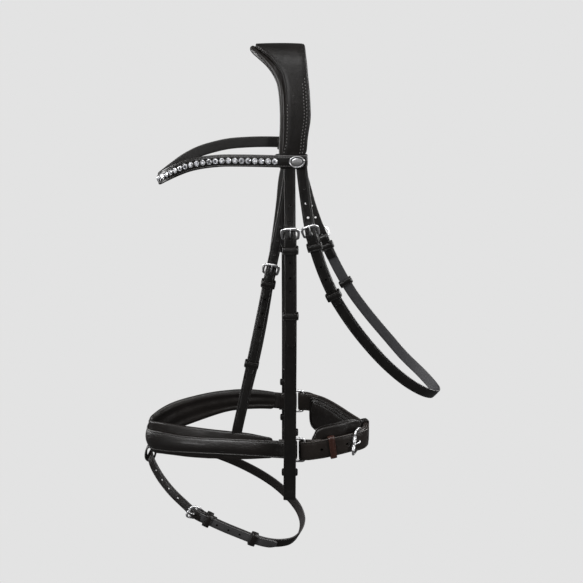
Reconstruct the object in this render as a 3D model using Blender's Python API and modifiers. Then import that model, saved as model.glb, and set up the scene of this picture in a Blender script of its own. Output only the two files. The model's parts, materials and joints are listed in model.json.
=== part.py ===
"""Snaffle bridle: padded anatomical headpiece, crystal browband, cheekpieces with hook-stud bit ends,
throatlash, padded crank noseband on a sliphead, chin pad and flash strap.

Row frame: origin on the underside of the headpiece pad at the poll, +Z up, -X towards the horse's
nose, +X towards the back of the jaw, -Y the near (left) side and +Y the off (right) side.
Lengths are millimetres; every mesh is made in metres.

Each strap is laid along a rail, a smooth 3-D line. A place on it is given by
    dist   distance along the rail,
    aside  distance across the strap, in the rail's width direction,
    lift   distance outward from the rail, along x across.
A strap is an open sheet over (dist, lift) rows, made solid with Solidify.
"""

import bisect
import copy
import math

import bmesh
import bpy
from mathutils import Matrix, Vector

MM = 0.001
X, Y, Z = range(3)
UP = (0, 0, 1)
HANDS = (("near", -1), ("off", 1))  # side of the horse, sign of Y

# ---------------------------------------------------------------- driving dimensions (mm)
STRAP_T = 2.4  # thickness of one leather layer
LAYER = 2.7  # spacing of two layers that lie on each other
BILLET_LIFT = 1.5 * LAYER  # a billet lying on the outer layer of a doubled strap
CHEEK_W, CHEEK_BILLET_W = 14.4, 12.6
THROAT_W, THROAT_BILLET_W = 13.6, 12.4
NOSE_W, NOSE_BILLET_W = 13.0, 12.0
FLASH_W, FLASH_T = 13.4, 2.2
JAW_W = 26.6
BROW_W = 14.0
KEEPER_T, KEEPER_LENGTH = 1.4, 8.0
HOLE_R, CHEEK_HOLE_R, JAW_HOLE_R = 1.5, 1.6, 1.9

WIRE_R = 1.25  # buckle frame wire radius
PRONG_R = 1.0
FRAME_DEPTH, FRAME_LIFT = 12.2, 6.4  # far bar, along the strap and out from the pivot bar
FOLD_R = 2.85  # radius of the middle of a fold round a buckle bar
FOLD_STEPS = 6

RING_R = 1.5  # noseband ring wire radius
RING_HALF_HEIGHT = 15.4  # to the centre of the wire
RING_FRONT_X = 5.5
RING_NEAR, RING_OFF = (18.6, -64.5, -474.5), (18.6, 63.8, -469.0)  # rear bars of the two rings

SWING_Z = -121.0  # height at which the billets leave the headpiece
BROW_AXIS = (2.0, 0, -112.0)
THROAT_AXIS = (11.0, 0, SWING_Z)
NOSE_AXIS = (-14.0, 0.0, 1.6)
FLASH_AXIS = (-187.0, 0.0, -513.5)

# ---------------------------------------------------------------- clean scene, collections
for old in list(bpy.data.objects):
    bpy.data.objects.remove(old, do_unlink=True)

BRIDLE = bpy.data.collections.new("snaffle_bridle")
CUTTERS = bpy.data.collections.new("cutters")
PIVOTS = bpy.data.collections.new("pivots")
for group in (BRIDLE, CUTTERS, PIVOTS):
    bpy.context.scene.collection.children.link(group)


# ---------------------------------------------------------------- materials
def material(name, colour, roughness, metallic=0.0):
    made = bpy.data.materials.new(name)
    made.use_nodes = True
    shader = made.node_tree.nodes["Principled BSDF"]
    shader.inputs["Base Color"].default_value = (*colour, 1.0)
    shader.inputs["Roughness"].default_value = roughness
    shader.inputs["Metallic"].default_value = metallic
    made.diffuse_color = (*colour, 1.0)
    return made


BLACK = material("black_bridle_leather", colour=(0.012, 0.011, 0.010), roughness=0.38)
SOFT = material("soft_black_padding", colour=(0.016, 0.014, 0.013), roughness=0.55)
BROWN = material("dark_brown_keeper_leather", colour=(0.030, 0.012, 0.009), roughness=0.42)
STEEL = material("polished_steel", colour=(0.75, 0.75, 0.76), roughness=0.16, metallic=1.0)
CRYSTAL = material(
    "crystal_in_silver_cups", colour=(0.85, 0.87, 0.92), roughness=0.06, metallic=0.6)


# ---------------------------------------------------------------- smooth lines
def hermite_value(start, start_slope, end, end_slope, gap, f):
    """Cubic Hermite value at fraction f of a span of length gap."""
    h00, h10 = 2 * f**3 - 3 * f**2 + 1, f**3 - 2 * f**2 + f
    h01, h11 = -2 * f**3 + 3 * f**2, f**3 - f**2
    return h00 * start + h10 * gap * start_slope + h01 * end + h11 * gap * end_slope


def smooth_line(points, closed):
    """Dense smooth line through points of any dimension, with spacing-aware tangents."""
    count = len(points)
    axes = range(len(points[0]))
    spans = count if closed else count - 1
    gaps = [max(1e-6, math.dist(points[i][:3], points[(i + 1) % count][:3]))
            for i in range(spans)]
    slopes = []
    for i, here in enumerate(points):
        if closed or 0 < i < count - 1:
            back, ahead = points[i - 1], points[(i + 1) % count]
            gap0, gap1 = gaps[(i - 1) % spans], gaps[i % spans]
            slopes.append([
                ((ahead[k] - here[k]) / gap1 * gap0 + (here[k] - back[k]) / gap0 * gap1)
                / (gap0 + gap1) for k in axes])
        else:
            first = min(i, count - 2)
            slopes.append([(points[first + 1][k] - points[first][k]) / gaps[first] for k in axes])
    line = []
    for i, gap in enumerate(gaps):
        j = (i + 1) % count
        pieces = max(6, int(gap / 1.5))
        for step in range(pieces):
            line.append([
                hermite_value(points[i][k], slopes[i][k], points[j][k], slopes[j][k],
                              gap, step / pieces) for k in axes])
    line.append(list(points[0] if closed else points[-1]))
    return line


def table(rows, at):
    """Value at a place on a smooth line through (place, value) rows, with no overshoot."""
    if at <= rows[0][0]:
        return rows[0][1]
    if at >= rows[-1][0]:
        return rows[-1][1]

    def gap(i):
        return rows[i + 1][0] - rows[i][0]

    def grade(i):
        return (rows[i + 1][1] - rows[i][1]) / gap(i)

    def slope(i):
        if i == 0:
            return grade(0)
        if i == len(rows) - 1:
            return 0.0
        gap0, gap1 = gap(i - 1), gap(i)
        grade0, grade1 = grade(i - 1), grade(i)
        if grade0 * grade1 <= 0:
            return 0.0
        return (gap0 + gap1) * 3 / ((2 * gap1 + gap0) / grade0 + (gap1 + 2 * gap0) / grade1)

    k = 0
    while rows[k + 1][0] < at:
        k += 1
    f = (at - rows[k][0]) / gap(k)
    return hermite_value(rows[k][1], slope(k), rows[k + 1][1], slope(k + 1), gap(k), f)


class Rail:
    """A 3-D line. Each control point is x, y, z and the x, y, z of the width direction."""

    def __init__(self, points, closed=False):
        line = smooth_line(points, closed)
        self.closed = closed
        self.points = [Vector(row[:3]) for row in line]
        self.widths = [Vector(row[3:6]) for row in line]
        self.dists = [0.0]
        for a, b in zip(self.points, self.points[1:]):
            self.dists.append(self.dists[-1] + (b - a).length)
        self.length = self.dists[-1]

    def tangent(self, i):
        last = len(self.points) - 1
        if self.closed:
            before, after = (i - 1) % last, (i + 1) % last
        else:
            before, after = max(i - 1, 0), min(i + 1, last)
        return (self.points[after] - self.points[before]).normalized()

    def at(self, dist):
        """(point, along, across, outward); an open line runs straight on past its ends."""
        if self.closed:
            dist = dist % self.length
        inside = min(max(dist, 0.0), self.length)
        beyond = dist - inside
        i = min(bisect.bisect_right(self.dists, inside) - 1, len(self.dists) - 2)
        f = (inside - self.dists[i]) / max(1e-9, self.dists[i + 1] - self.dists[i])
        point = self.points[i].lerp(self.points[i + 1], f)
        along = self.tangent(i).lerp(self.tangent(i + 1), f).normalized()
        across = self.widths[i].lerp(self.widths[i + 1], f)
        across = (across - along * across.dot(along)).normalized()
        return point + along * beyond, along, across, along.cross(across)

    def where(self, axis, value, start=0.0):
        """First distance after start at which a coordinate passes value."""
        before = None
        for point, dist in zip(self.points, self.dists):
            if dist < start:
                continue
            above = point[axis] >= value
            if before is not None and above != before:
                return dist
            before = above
        return self.length

    def reverse(self):
        """The same line run the other way, with outward unchanged."""
        other = copy.copy(self)
        other.points = self.points[::-1]
        other.widths = [-width for width in self.widths[::-1]]
        other.dists = [self.length - dist for dist in self.dists[::-1]]
        return other


def with_width(points, direction):
    """Control points that share one width direction."""
    return [(*point, *direction) for point in points]


def off_side(points):
    """The same control points on the off side; the width turns round to keep outward outward."""
    return [(x, -y, z, -wx, wy, -wz) for x, y, z, wx, wy, wz in points]


# ---------------------------------------------------------------- rows of a strap
def stations(rail, start, end, turn=9.0, longest=70.0):
    """Distances from start to end, close together only where the rail bends or twists."""
    span = abs(end - start)
    sign = 1.0 if end >= start else -1.0
    found, last = [start], rail.at(start)
    tries = max(2, int(span / 2.0))
    for i in range(1, tries):
        dist = start + sign * span * i / tries
        now = rail.at(dist)
        bend = math.degrees(max(last[1].angle(now[1]), last[2].angle(now[2])))
        if bend > turn or abs(dist - found[-1]) > longest:
            found.append(dist)
            last = now
    if abs(found[-1] - end) < 1.5 and len(found) > 1:
        found.pop()
    found.append(end)
    return found


def lay(rail, knots, turn=9.0, longest=70.0):
    """(dist, lift) rows through the knots, with extra rows where the rail bends."""
    rows = [knots[0]]
    for (dist0, lift0), (dist1, lift1) in zip(knots, knots[1:]):
        for dist in stations(rail, dist0, dist1, turn, longest)[1:]:
            f = (dist - dist0) / (dist1 - dist0) if abs(dist1 - dist0) > 1e-9 else 1.0
            rows.append((dist, lift0 + (lift1 - lift0) * f))
    return rows


def shifted(base, rows, direction=1.0):
    """Rows given relative to a place on the rail."""
    return [(base + direction * offset, lift) for offset, lift in rows]


def fold(bar, direction=1.0, radius=FOLD_R):
    """Rows round a bar, from the inner side to the outer; direction 1 opens to larger dist."""
    angles = [math.pi * i / FOLD_STEPS for i in range(FOLD_STEPS + 1)]
    return [(bar - direction * radius * math.sin(a), -radius * math.cos(a)) for a in angles]


def chape(bar, inner_length):
    """Rows of a strap's buckle end: inner layer, fold round the pivot bar, outer layer."""
    inner = [(inner_length, -LAYER / 2), (14, -LAYER / 2), (7, -1.75), (3.2, -2.6)]
    outer = [(3.2, 2.6), (7, 1.75), (14, LAYER / 2)]
    return shifted(bar, inner) + fold(bar) + shifted(bar, outer)


# a billet over a buckle: (distance from the pivot bar, lift)
BILLET_OVER = [
    (-44, 0.0), (-26, 1.4), (-13, 3.1), (-7, 4.6), (-1, 5.55),
    (5, 5.5), (10, 5.0), (15, 4.35), (20, BILLET_LIFT)]


def billet_rows(rail, start, bar, tip):
    """A billet from start, over the buckle at bar, to its tip, lying on the strap below."""
    return lay(rail, [(start, 0.0)] + shifted(bar, BILLET_OVER) + [(tip, BILLET_LIFT)])


def tail_rows(rail, bar, tip):
    """The part of a billet that lies on the strap beyond the buckle."""
    return lay(rail, [(bar + 20, BILLET_LIFT), (tip, BILLET_LIFT)], turn=8)[1:]


def with_tip(rows, tip, length=9.0):
    """The rows with extra ones inside the tapered tip."""
    body = [row for row in rows if row[0] < tip - length]
    return body + [(tip - length * part, rows[-1][1]) for part in (1, 0.55, 0.2, 0)]


def tip_share(dist, tip, length=9.0, blunt=0.45):
    """Share of a billet's full width: 1 before the tip, then down to the blunt end."""
    f = min(1.0, max(0.0, (tip - dist) / length))
    return blunt + (1 - blunt) * math.sqrt(f)


def taper(half, tip, length=9.0, blunt=0.45):
    """Width function of a billet with a tapered tip."""

    def width(row, dist):
        reach = half * tip_share(dist, tip, length, blunt)
        return -reach, reach

    return width


# ---------------------------------------------------------------- objects, pivots, meshes
def attach(obj, parent):
    obj.parent = parent
    obj.matrix_parent_inverse = parent.matrix_world.inverted()


def keep(name, data, mat, parent=None):
    """A new object in the bridle collection."""
    obj = bpy.data.objects.new(name, data)
    BRIDLE.objects.link(obj)
    if mat:
        obj.data.materials.append(mat)
    if parent is not None:
        attach(obj, parent)
    return obj


def as_cutter(obj):
    """Moves an object to the cutters and hides it from the render."""
    obj.hide_render = True
    obj.display_type = "WIRE"
    BRIDLE.objects.unlink(obj)
    CUTTERS.objects.link(obj)
    return obj


def make_pivot(name, at, axis, parent=None):
    """An empty on a joint's axis, its local Z along the axis."""
    empty = bpy.data.objects.new("pivot_" + name, None)
    empty.empty_display_size = 0.02
    PIVOTS.objects.link(empty)
    spin = Vector(UP).rotation_difference(Vector(axis).normalized()).to_matrix().to_4x4()
    if parent is not None:
        attach(empty, parent)
    empty.matrix_world = Matrix.Translation(Vector(at) * MM) @ spin
    bpy.context.view_layer.update()
    return empty


def axes_at(point, x_axis, y_axis, z_axis):
    """Matrix that puts local axes at a point given in millimetres."""
    turned = Matrix((x_axis, y_axis, z_axis)).transposed().to_4x4()
    return Matrix.Translation(point * MM) @ turned


def strap_axes(rail, dist, lift):
    """Matrix with local X across, Y along and Z inward at a place on a strap."""
    point, along, across, outward = rail.at(dist)
    return axes_at(point + outward * lift, across, along, -outward)


def face_outward(bm):
    bm.normal_update()
    bmesh.ops.recalc_face_normals(bm, faces=bm.faces)


def to_mesh(name, bm, smooth_angle=None):
    """Turns a bmesh into a mesh; edges sharper than smooth_angle (degrees) stay sharp."""
    mesh = bpy.data.meshes.new(name)
    bm.to_mesh(mesh)
    bm.free()
    if smooth_angle is not None:
        mesh.shade_smooth()
        mesh.set_sharp_from_angle(angle=math.radians(smooth_angle))
    return mesh


def solidify(obj, thick, offset):
    solid = obj.modifiers.new("thickness", "SOLIDIFY")
    solid.thickness = thick * MM
    solid.offset = offset
    solid.use_even_offset = True
    solid.use_rim = True


def boolean(obj, tool, name, operation="DIFFERENCE"):
    made = obj.modifiers.new(name, "BOOLEAN")
    made.operation = operation
    made.object = tool
    made.solver = "EXACT"


# ---------------------------------------------------------------- kinds of solid
def sheet(name, rail, rows, width, parent=None, thick=STRAP_T, mat=BLACK, crown=(0.0, 0.0)):
    """A strap: a grid laid along the rail and made solid.
    width is a number or a function of (row index, dist) giving (low, high) aside;
    crown gives the extra lift of each column across the width."""
    cols, last = len(crown) - 1, len(rows) - 1
    bm = bmesh.new()
    bmesh.ops.create_grid(bm, x_segments=cols, y_segments=last, size=1.0)
    for vert in bm.verts:
        i = round((vert.co.x + 1) / 2 * cols)
        j = round((vert.co.y + 1) / 2 * last)
        dist, lift = rows[j]
        low, high = width(j, dist) if callable(width) else (-width / 2, width / 2)
        point, _, across, outward = rail.at(dist)
        aside = low + (high - low) * i / cols
        vert.co = (point + across * aside + outward * (lift + crown[i])) * MM
    face_outward(bm)
    obj = keep(name, to_mesh(name, bm, 35), mat, parent)
    solidify(obj, thick, offset=0.0)
    return obj


def sleeve(name, rail, dist, half, span, parent, length=KEEPER_LENGTH, mat=BLACK,
           thick=KEEPER_T, corner=0.8):
    """A keeper: a closed loop of leather round the strap, an open tube made solid.
    half is its half width inside, span its lowest and highest lift."""
    point, along, across, outward = rail.at(dist)
    low, high = span
    outline = []
    for sign_x, sign_y, angle in ((1, 1, 0), (-1, 1, 90), (-1, -1, 180), (1, -1, 270)):
        for a in (math.radians(angle), math.radians(angle + 90)):
            x = sign_x * (half - corner) + corner * math.cos(a)
            y = (high if sign_y > 0 else low) - sign_y * corner + corner * math.sin(a)
            outline.append((x, y))
    bm = bmesh.new()
    bmesh.ops.create_cone(
        bm, cap_ends=False, segments=len(outline), radius1=1.0, radius2=1.0, depth=2.0)
    bm.verts.ensure_lookup_table()
    base = math.atan2(bm.verts[0].co.y, bm.verts[0].co.x)
    step = 2 * math.pi / len(outline)
    for vert in bm.verts:
        k = round((math.atan2(vert.co.y, vert.co.x) - base) / step) % len(outline)
        x, y = outline[k]
        vert.co = (point + across * x + outward * y + along * (vert.co.z * length / 2)) * MM
    face_outward(bm)
    # recalc on an open tube can choose either side: make the faces look away from the middle
    middle = (point + outward * (low + high) / 2) * MM
    if sum((face.calc_center_median() - middle).dot(face.normal) for face in bm.faces) < 0:
        bmesh.ops.reverse_faces(bm, faces=bm.faces)
    obj = keep(name, to_mesh(name, bm, 60), mat, parent)
    solidify(obj, thick, offset=1.0)
    return obj


def runner(name, rail, dist, half, span, parent, **options):
    """A sleeve on its own pivot, whose axis lies along the strap."""
    point, along, _, _ = rail.at(dist)
    sleeve(name, rail, dist, half, span, make_pivot(name, point, along, parent), **options)


def wire(name, points, radius, parent, closed=False):
    """A bent steel wire: a POLY curve with a round bevel, its ends filled when open."""
    curve = bpy.data.curves.new(name, "CURVE")
    curve.dimensions = "3D"
    spline = curve.splines.new("POLY")
    spline.points.add(len(points) - 1)
    for knot, point in zip(spline.points, points):
        knot.co = (*(Vector(point) * MM), 1.0)
    spline.use_cyclic_u = closed
    curve.bevel_depth = radius * MM
    curve.bevel_resolution = 2 if closed else 1
    curve.use_fill_caps = not closed
    keep(name, curve, STEEL, parent)


def loft(name, rail, sections, mat=SOFT, parent=None):
    """A solid through (dist, outline) sections of (aside, lift) points, with capped ends."""
    bm = bmesh.new()
    rings = []
    for dist, outline in sections:
        point, _, across, outward = rail.at(dist)
        rings.append([bm.verts.new((point + across * aside + outward * lift) * MM)
                      for aside, lift in outline])
    count = len(rings[0])
    for ring0, ring1 in zip(rings, rings[1:]):
        for k in range(count):
            after = (k + 1) % count
            bm.faces.new((ring0[k], ring0[after], ring1[after], ring1[k]))
    bm.faces.new(rings[0][::-1])
    bm.faces.new(rings[-1])
    face_outward(bm)
    if bm.calc_volume(signed=True) < 0:
        bmesh.ops.reverse_faces(bm, faces=bm.faces)
    return keep(name, to_mesh(name, bm, 50), mat, parent)


def turned_part(name, profile, world, parent, steps, closed=False):
    """A steel part turned about its local Z from (radius, z) points."""
    bm = bmesh.new()
    corners = [bm.verts.new(Vector((radius, 0, z)) * MM) for radius, z in profile]
    ends = corners[1:] + (corners[:1] if closed else [])
    for a, b in zip(corners, ends):
        bm.edges.new((a, b))
    obj = keep(name, to_mesh(name, bm), STEEL)
    obj.matrix_world = world
    bpy.context.view_layer.update()
    attach(obj, parent)
    turn = obj.modifiers.new("turn", "SCREW")
    turn.angle = math.tau
    turn.steps = turn.render_steps = steps
    turn.use_merge_vertices = True
    turn.merge_threshold = 0.00005
    turn.use_smooth_shade = True


# ---------------------------------------------------------------- holes
def holes_at(base, places, radius=HOLE_R):
    """Round holes at (distance from base, lift): dist, lift, radius across, radius along."""
    return [(dist, lift, radius, radius) for dist, lift in shifted(base, places)]


def prong_hole(bar, radius_across=1.6, radius_along=3.2):
    """The long hole of a billet through which the prong comes up."""
    return [(bar - 2.8, 5.1, radius_across, radius_along)]


def punch(obj, rail, holes, label):
    """Holes through a strap: one cutter of separate short cylinders."""
    bm = bmesh.new()
    for dist, lift, radius_across, radius_along in holes:
        place = strap_axes(rail, dist, lift)
        made = bmesh.ops.create_cone(
            bm, cap_ends=True, segments=8, radius1=MM, radius2=MM, depth=5.6 * MM)
        for vert in made["verts"]:
            x, y, z = vert.co
            vert.co = place @ Vector((x * radius_across, y * radius_along, z))
    face_outward(bm)
    name = "holes_" + label
    boolean(obj, as_cutter(keep(name, to_mesh(name, bm), None)), "holes")


def slot(obj, rail, bar, label, width=3.4, depth=13.0, lift=0.0):
    """The crew hole: a box cut through the fold round a bar, for the prong."""
    place = strap_axes(rail, bar + 0.5, lift)
    length = 13.0
    bm = bmesh.new()
    bmesh.ops.create_cube(bm, size=MM)
    for vert in bm.verts:
        x, y, z = vert.co
        vert.co = place @ Vector((x * width, y * length, z * depth))
    face_outward(bm)
    name = "slot_" + label
    boolean(obj, as_cutter(keep(name, to_mesh(name, bm), None)), "crew_hole")


# ---------------------------------------------------------------- buckle unit
EYE_ANGLES = (15, -20, -55, -90, -125, -160, -195, -230, -262)  # of the prong round its bar


def buckle_space(rail, bar):
    """World point from (aside, back, lift) at a buckle: back runs towards smaller dist."""
    point, along, across, outward = rail.at(bar)
    return lambda aside, back, lift: point + across * aside - along * back + outward * lift


def buckle(name, rail, bar, strap_width, body, depth=FRAME_DEPTH, flare=0.3,
           wire_radius=WIRE_R, prong_rise=2.6):
    """Frame, and prong on its own pivot; "{}" in name takes "buckle" or "prong".
    The strap folds round the pivot bar at bar and the billet passes under the far bar."""
    place = buckle_space(rail, bar)
    half = strap_width / 2 + 0.75 + wire_radius
    wide = half + flare
    half_frame = [
        (half - 1.6, 0), (half - 0.3, 0.9), (half, 2.6), (wide, depth - 5.0),
        (wide - 0.5, depth - 2.2), (wide - 2.6, depth - 0.5), (wide - 5.2, depth)]
    outline = half_frame + [(-aside, back) for aside, back in half_frame[::-1]]
    outline = outline[-1:] + outline[:-1]  # starts with the pivot bar
    slope = FRAME_LIFT / depth
    points = [place(aside, back, back * slope) for aside, back in outline]
    wire(name.format("buckle"), points, wire_radius, body, closed=True)

    eye_radius = wire_radius + PRONG_R + 0.4
    eye = [(eye_radius * math.cos(a), eye_radius * math.sin(a))
           for a in map(math.radians, EYE_ANGLES)]
    top = FRAME_LIFT + prong_rise
    stem = [(1.4, 3.15), (2.9, 4.7), (4.0, 6.5), (6.0, 7.7),
            (depth - 4.5, top - 0.15), (depth, top), (depth + 2.0, top - 0.3)]
    prong_name = name.format("prong")
    point, _, across, _ = rail.at(bar)
    prong_pivot = make_pivot(prong_name, point, across, body)
    wire(prong_name, [place(0, back, lift) for back, lift in eye + stem], PRONG_R, prong_pivot)


# ---------------------------------------------------------------- rails of the bridle
# headpiece: y, z from the off bottom to the poll, mirrored down to the near bottom.
# The rail is the seam between pad and cover.
CROWN_SIDE = [
    (70.0, -120.6), (69.6, -105.0), (68.6, -88.0), (66.8, -72.0), (63.8, -54.0), (59.0, -36.0),
    (51.5, -19.0), (42.0, -6.0), (31.0, 2.0), (20.0, 6.2), (9.0, 7.6)]
CROWN = Rail(
    [(0, y, z, 1, 0, 0) for y, z in CROWN_SIDE]
    + [(0, -y, z, 1, 0, 0) for y, z in CROWN_SIDE[::-1]])

# cheekpieces: x at three heights differs between the sides, y and z are mirrored
CHEEK_YZ = [(-72.4, -121.4), (-75.5, -300.0), (-79.6, -536.0)]


def cheek_line(xs):
    return [(x, y, z, 1, 0, 0) for x, (y, z) in zip(xs, CHEEK_YZ)]


CHEEK = {
    "near": Rail(cheek_line((0.8, 1.7, 0.2))),
    "off": Rail(off_side(cheek_line((-3.2, -3.4, -3.4))))}

# throatlash, near top to off top: x, y, z, width direction
THROAT = Rail([
    (14.2, -72.4, -121.6, 1, 0, 0.05), (16.8, -73.2, -143.0, 1, 0, 0.1),
    (19.4, -73.4, -162.0, 1, 0, 0.15), (23.6, -73.4, -188.0, 0.98, 0, 0.2),
    (29.2, -73.2, -209.5, 0.97, 0, 0.25), (38.6, -72.0, -238.0, 0.94, 0, 0.34),
    (51.6, -70.2, -268.0, 0.9, 0, 0.42), (67.6, -67.4, -295.5, 0.85, 0, 0.52),
    (92.4, -63.5, -330.5, 0.8, 0, 0.6), (122.5, -57.5, -365.5, 0.77, 0, 0.64),
    (150.0, -48.0, -391.5, 0.72, 0, 0.7), (173.5, -34.0, -409.5, 0.68, 0, 0.74),
    (187.0, -15.0, -419.5, 0.66, 0, 0.75), (191.0, 3.0, -423.0, 0.66, 0, 0.75),
    (187.0, 21.0, -421.0, 0.67, 0, 0.74), (176.0, 38.0, -413.0, 0.7, 0, 0.71),
    (157.0, 51.5, -397.5, 0.74, 0, 0.67), (132.3, 60.0, -370.5, 0.78, 0, 0.63),
    (106.3, 65.0, -340.0, 0.82, 0, 0.58), (83.2, 68.0, -309.0, 0.86, 0, 0.5),
    (66.6, 70.0, -281.0, 0.9, 0, 0.43), (52.6, 71.5, -253.0, 0.92, 0, 0.38),
    (40.4, 72.6, -225.0, 0.94, 0, 0.33), (29.8, 73.4, -196.0, 0.97, 0, 0.24),
    (21.2, 73.4, -166.0, 0.99, 0, 0.15), (14.8, 73.2, -143.0, 1, 0, 0.1),
    (10.0, 72.4, -121.6, 1, 0, 0.05)])

# sliphead, x, y, z: up the off side from the noseband, under the pad at the poll, down the near
SLIP_OVER = [  # poll to off side, mirrored for the near side
    (-14.0, 0.0, 1.6), (-14.0, 12.0, 1.2), (-14.0, 22.0, -1.8), (-12.5, 31.0, -8.0),
    (-10.0, 40.0, -19.0), (-6.5, 47.5, -33.0), (-3.5, 53.0, -50.0), (-1.8, 56.0, -72.0),
    (-0.4, 57.3, -96.0), (0.2, 57.6, -122.0)]
NEAR_HANG = [
    (-2.8, -57.8, -147.0), (-10.4, -57.8, -190.0), (-19.8, -57.6, -234.0),
    (-32.0, -57.2, -295.0), (-45.6, -56.6, -360.0), (-58.4, -55.4, -420.0),
    (-65.8, -54.6, -454.0), (-70.8, -53.4, -484.0)]
OFF_HANG = [
    (-6.5, 57.8, -147.0), (-11.6, 57.8, -190.0), (-17.6, 57.6, -234.0),
    (-27.0, 57.2, -295.0), (-38.0, 56.6, -360.0), (-48.5, 56.0, -410.0),
    (-56.0, 55.2, -440.0), (-62.5, 54.0, -469.0)]
SLIP = Rail(
    with_width(OFF_HANG[::-1], (0.99, 0, 0.16))
    + with_width(SLIP_OVER[::-1], (1, 0, 0))
    + [(x, -y, z, 1, 0, 0) for x, y, z in SLIP_OVER[1:]]
    + with_width(NEAR_HANG, (0.99, 0, -0.17)))

# noseband, x, y, z: off ring round the front to the near ring
NOSE = Rail(with_width([
    (RING_FRONT_X, 63.8, -469.0), (-6.0, 63.7, -468.9), (-19.0, 62.6, -467.3),
    (-40.0, 60.4, -464.2), (-66.0, 57.4, -462.4), (-92.0, 53.4, -463.0),
    (-117.0, 48.6, -466.0), (-143.0, 41.2, -471.0), (-164.0, 31.2, -477.0),
    (-179.0, 18.8, -482.4), (-187.0, 6.6, -486.2), (-188.0, -5.0, -487.6),
    (-182.4, -15.6, -486.4), (-170.5, -26.0, -483.2), (-148.0, -38.5, -479.6),
    (-114.0, -49.5, -476.6), (-80.0, -56.0, -474.8), (-40.0, -61.0, -474.2),
    (-12.0, -63.4, -474.5), (RING_FRONT_X, -64.4, -474.5)], UP))

# browband, x, y, z: off end round the front to the near end
BROW = Rail(with_width([
    (19.6, 76.4, -111.5), (8.0, 76.4, -111.5), (-14.0, 74.2, -110.4), (-32.0, 71.4, -109.8),
    (-55.0, 68.0, -110.0), (-77.0, 64.2, -111.4), (-95.0, 60.4, -114.8),
    (-113.0, 54.8, -119.8), (-130.0, 46.0, -127.6), (-143.4, 34.0, -136.0),
    (-152.4, 18.0, -141.6), (-155.6, 0.0, -143.2), (-152.4, -18.0, -141.0),
    (-144.0, -34.0, -135.0), (-130.0, -46.0, -127.2), (-113.0, -54.8, -119.8),
    (-95.0, -60.4, -115.4), (-77.0, -64.2, -113.0), (-55.0, -68.0, -112.2),
    (-32.0, -71.4, -112.0), (-14.0, -74.2, -112.0), (8.0, -76.4, -112.0),
    (19.6, -76.4, -112.0)], UP))

# flash strap, x, y, z: from the flash loop down the near side and back up the off side
FLASH = Rail(with_width([
    FLASH_AXIS, (-183.6, -11.5, -519.0), (-173.6, -23.0, -532.5), (-161.5, -31.4, -545.5),
    (-148.0, -38.2, -557.6), (-134.5, -42.4, -568.4), (-120.5, -44.8, -579.0),
    (-104.0, -46.2, -588.0), (-85.0, -47.0, -597.6), (-65.5, -46.8, -607.0),
    (-46.0, -45.6, -616.6), (-29.0, -42.6, -623.8), (-12.0, -36.4, -629.2),
    (3.0, -26.5, -631.8), (13.2, -12.0, -628.8), (16.8, 3.0, -622.5), (13.2, 17.0, -615.5),
    (5.0, 28.0, -608.0), (-5.5, 36.0, -600.0), (-20.0, 42.5, -589.5), (-37.0, 47.0, -579.0),
    (-56.0, 49.8, -568.5), (-77.0, 50.5, -557.5), (-105.0, 48.6, -544.0),
    (-133.0, 43.0, -531.5), (-158.0, 31.5, -521.0), (-177.0, 15.5, -514.5)],
    (0.475, 0, 0.88)), closed=True)

# jaw strap, x, y, z: near ring round the back of the jaw to the off ring
JAW = Rail(with_width([
    RING_NEAR, (38.0, -64.2, -474.2), (54.0, -62.0, -471.8), (68.0, -57.6, -470.0),
    (78.5, -51.4, -469.6), (86.5, -43.5, -470.8), (94.5, -33.5, -473.2), (98.3, -22.0, -475.8),
    (97.2, -9.5, -477.4), (90.8, 2.5, -477.4), (81.0, 14.0, -476.0), (70.0, 26.5, -473.8),
    (57.5, 39.5, -471.4), (45.5, 51.0, -470.0), (35.0, 58.8, -469.2), (26.0, 62.8, -469.0),
    RING_OFF], UP))

# ---------------------------------------------------------------- headpiece
# Edges as (distance up from the lower end, aside): narrow over the cheek, cut back for the
# ear, wide at the poll. Negative aside is the front.
PAD_FRONT = [
    (0, -11.0), (16, -11.4), (34, -11.0), (56, -10.4), (76, -11.2), (92, -13.2),
    (104, -18.0), (116, -25.6), (130, -35.6), (144, -42.6), (156, -44.6), (180, -44.8)]
PAD_REAR = [
    (0, 16.6), (14.5, 16.6), (18, 19.4), (34, 21.0), (58, 24.2), (80, 23.2),
    (110, 20.6), (150, 18.6), (180, 18.4)]
COVER_FRONT = [
    (0, -7.4), (14, -8.4), (30, -5.0), (52, -4.2), (76, -4.2), (92, -5.6),
    (104, -9.0), (116, -16.0), (130, -26.0), (144, -34.6), (156, -38.0), (180, -38.4)]
COVER_REAR = [
    (0, 16.4), (14.5, 16.4), (18, 18.6), (34, 20.4), (58, 23.2), (80, 22.2),
    (110, 19.6), (150, 17.6), (180, 17.4)]
PAD_DEPTH = 7.6


def crown_stations():
    """Stations of one half, mirrored about the poll."""
    half = CROWN.length / 2
    found = [dist for dist in stations(CROWN, 0.6, half, turn=8, longest=16)
             if dist < half - 10.5]
    found.append(half - 9.0)
    return found + [CROWN.length - dist for dist in found[::-1]]


def crown_edges(front, rear, dist):
    from_end = min(dist, CROWN.length - dist)
    return table(front, from_end), table(rear, from_end)


def pad_section(dist):
    front, rear = crown_edges(PAD_FRONT, PAD_REAR, dist)
    return [
        (front + 1.2, -0.15), (rear - 2.0, -0.15), (rear - 0.4, -1.6), (rear, -3.6),
        (rear - 1.2, -6.2), (rear - 4.0, -PAD_DEPTH), (front + 12.0, -PAD_DEPTH),
        (front + 5.0, -6.0), (front + 0.8, -3.2), (front, -1.4)]


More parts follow.
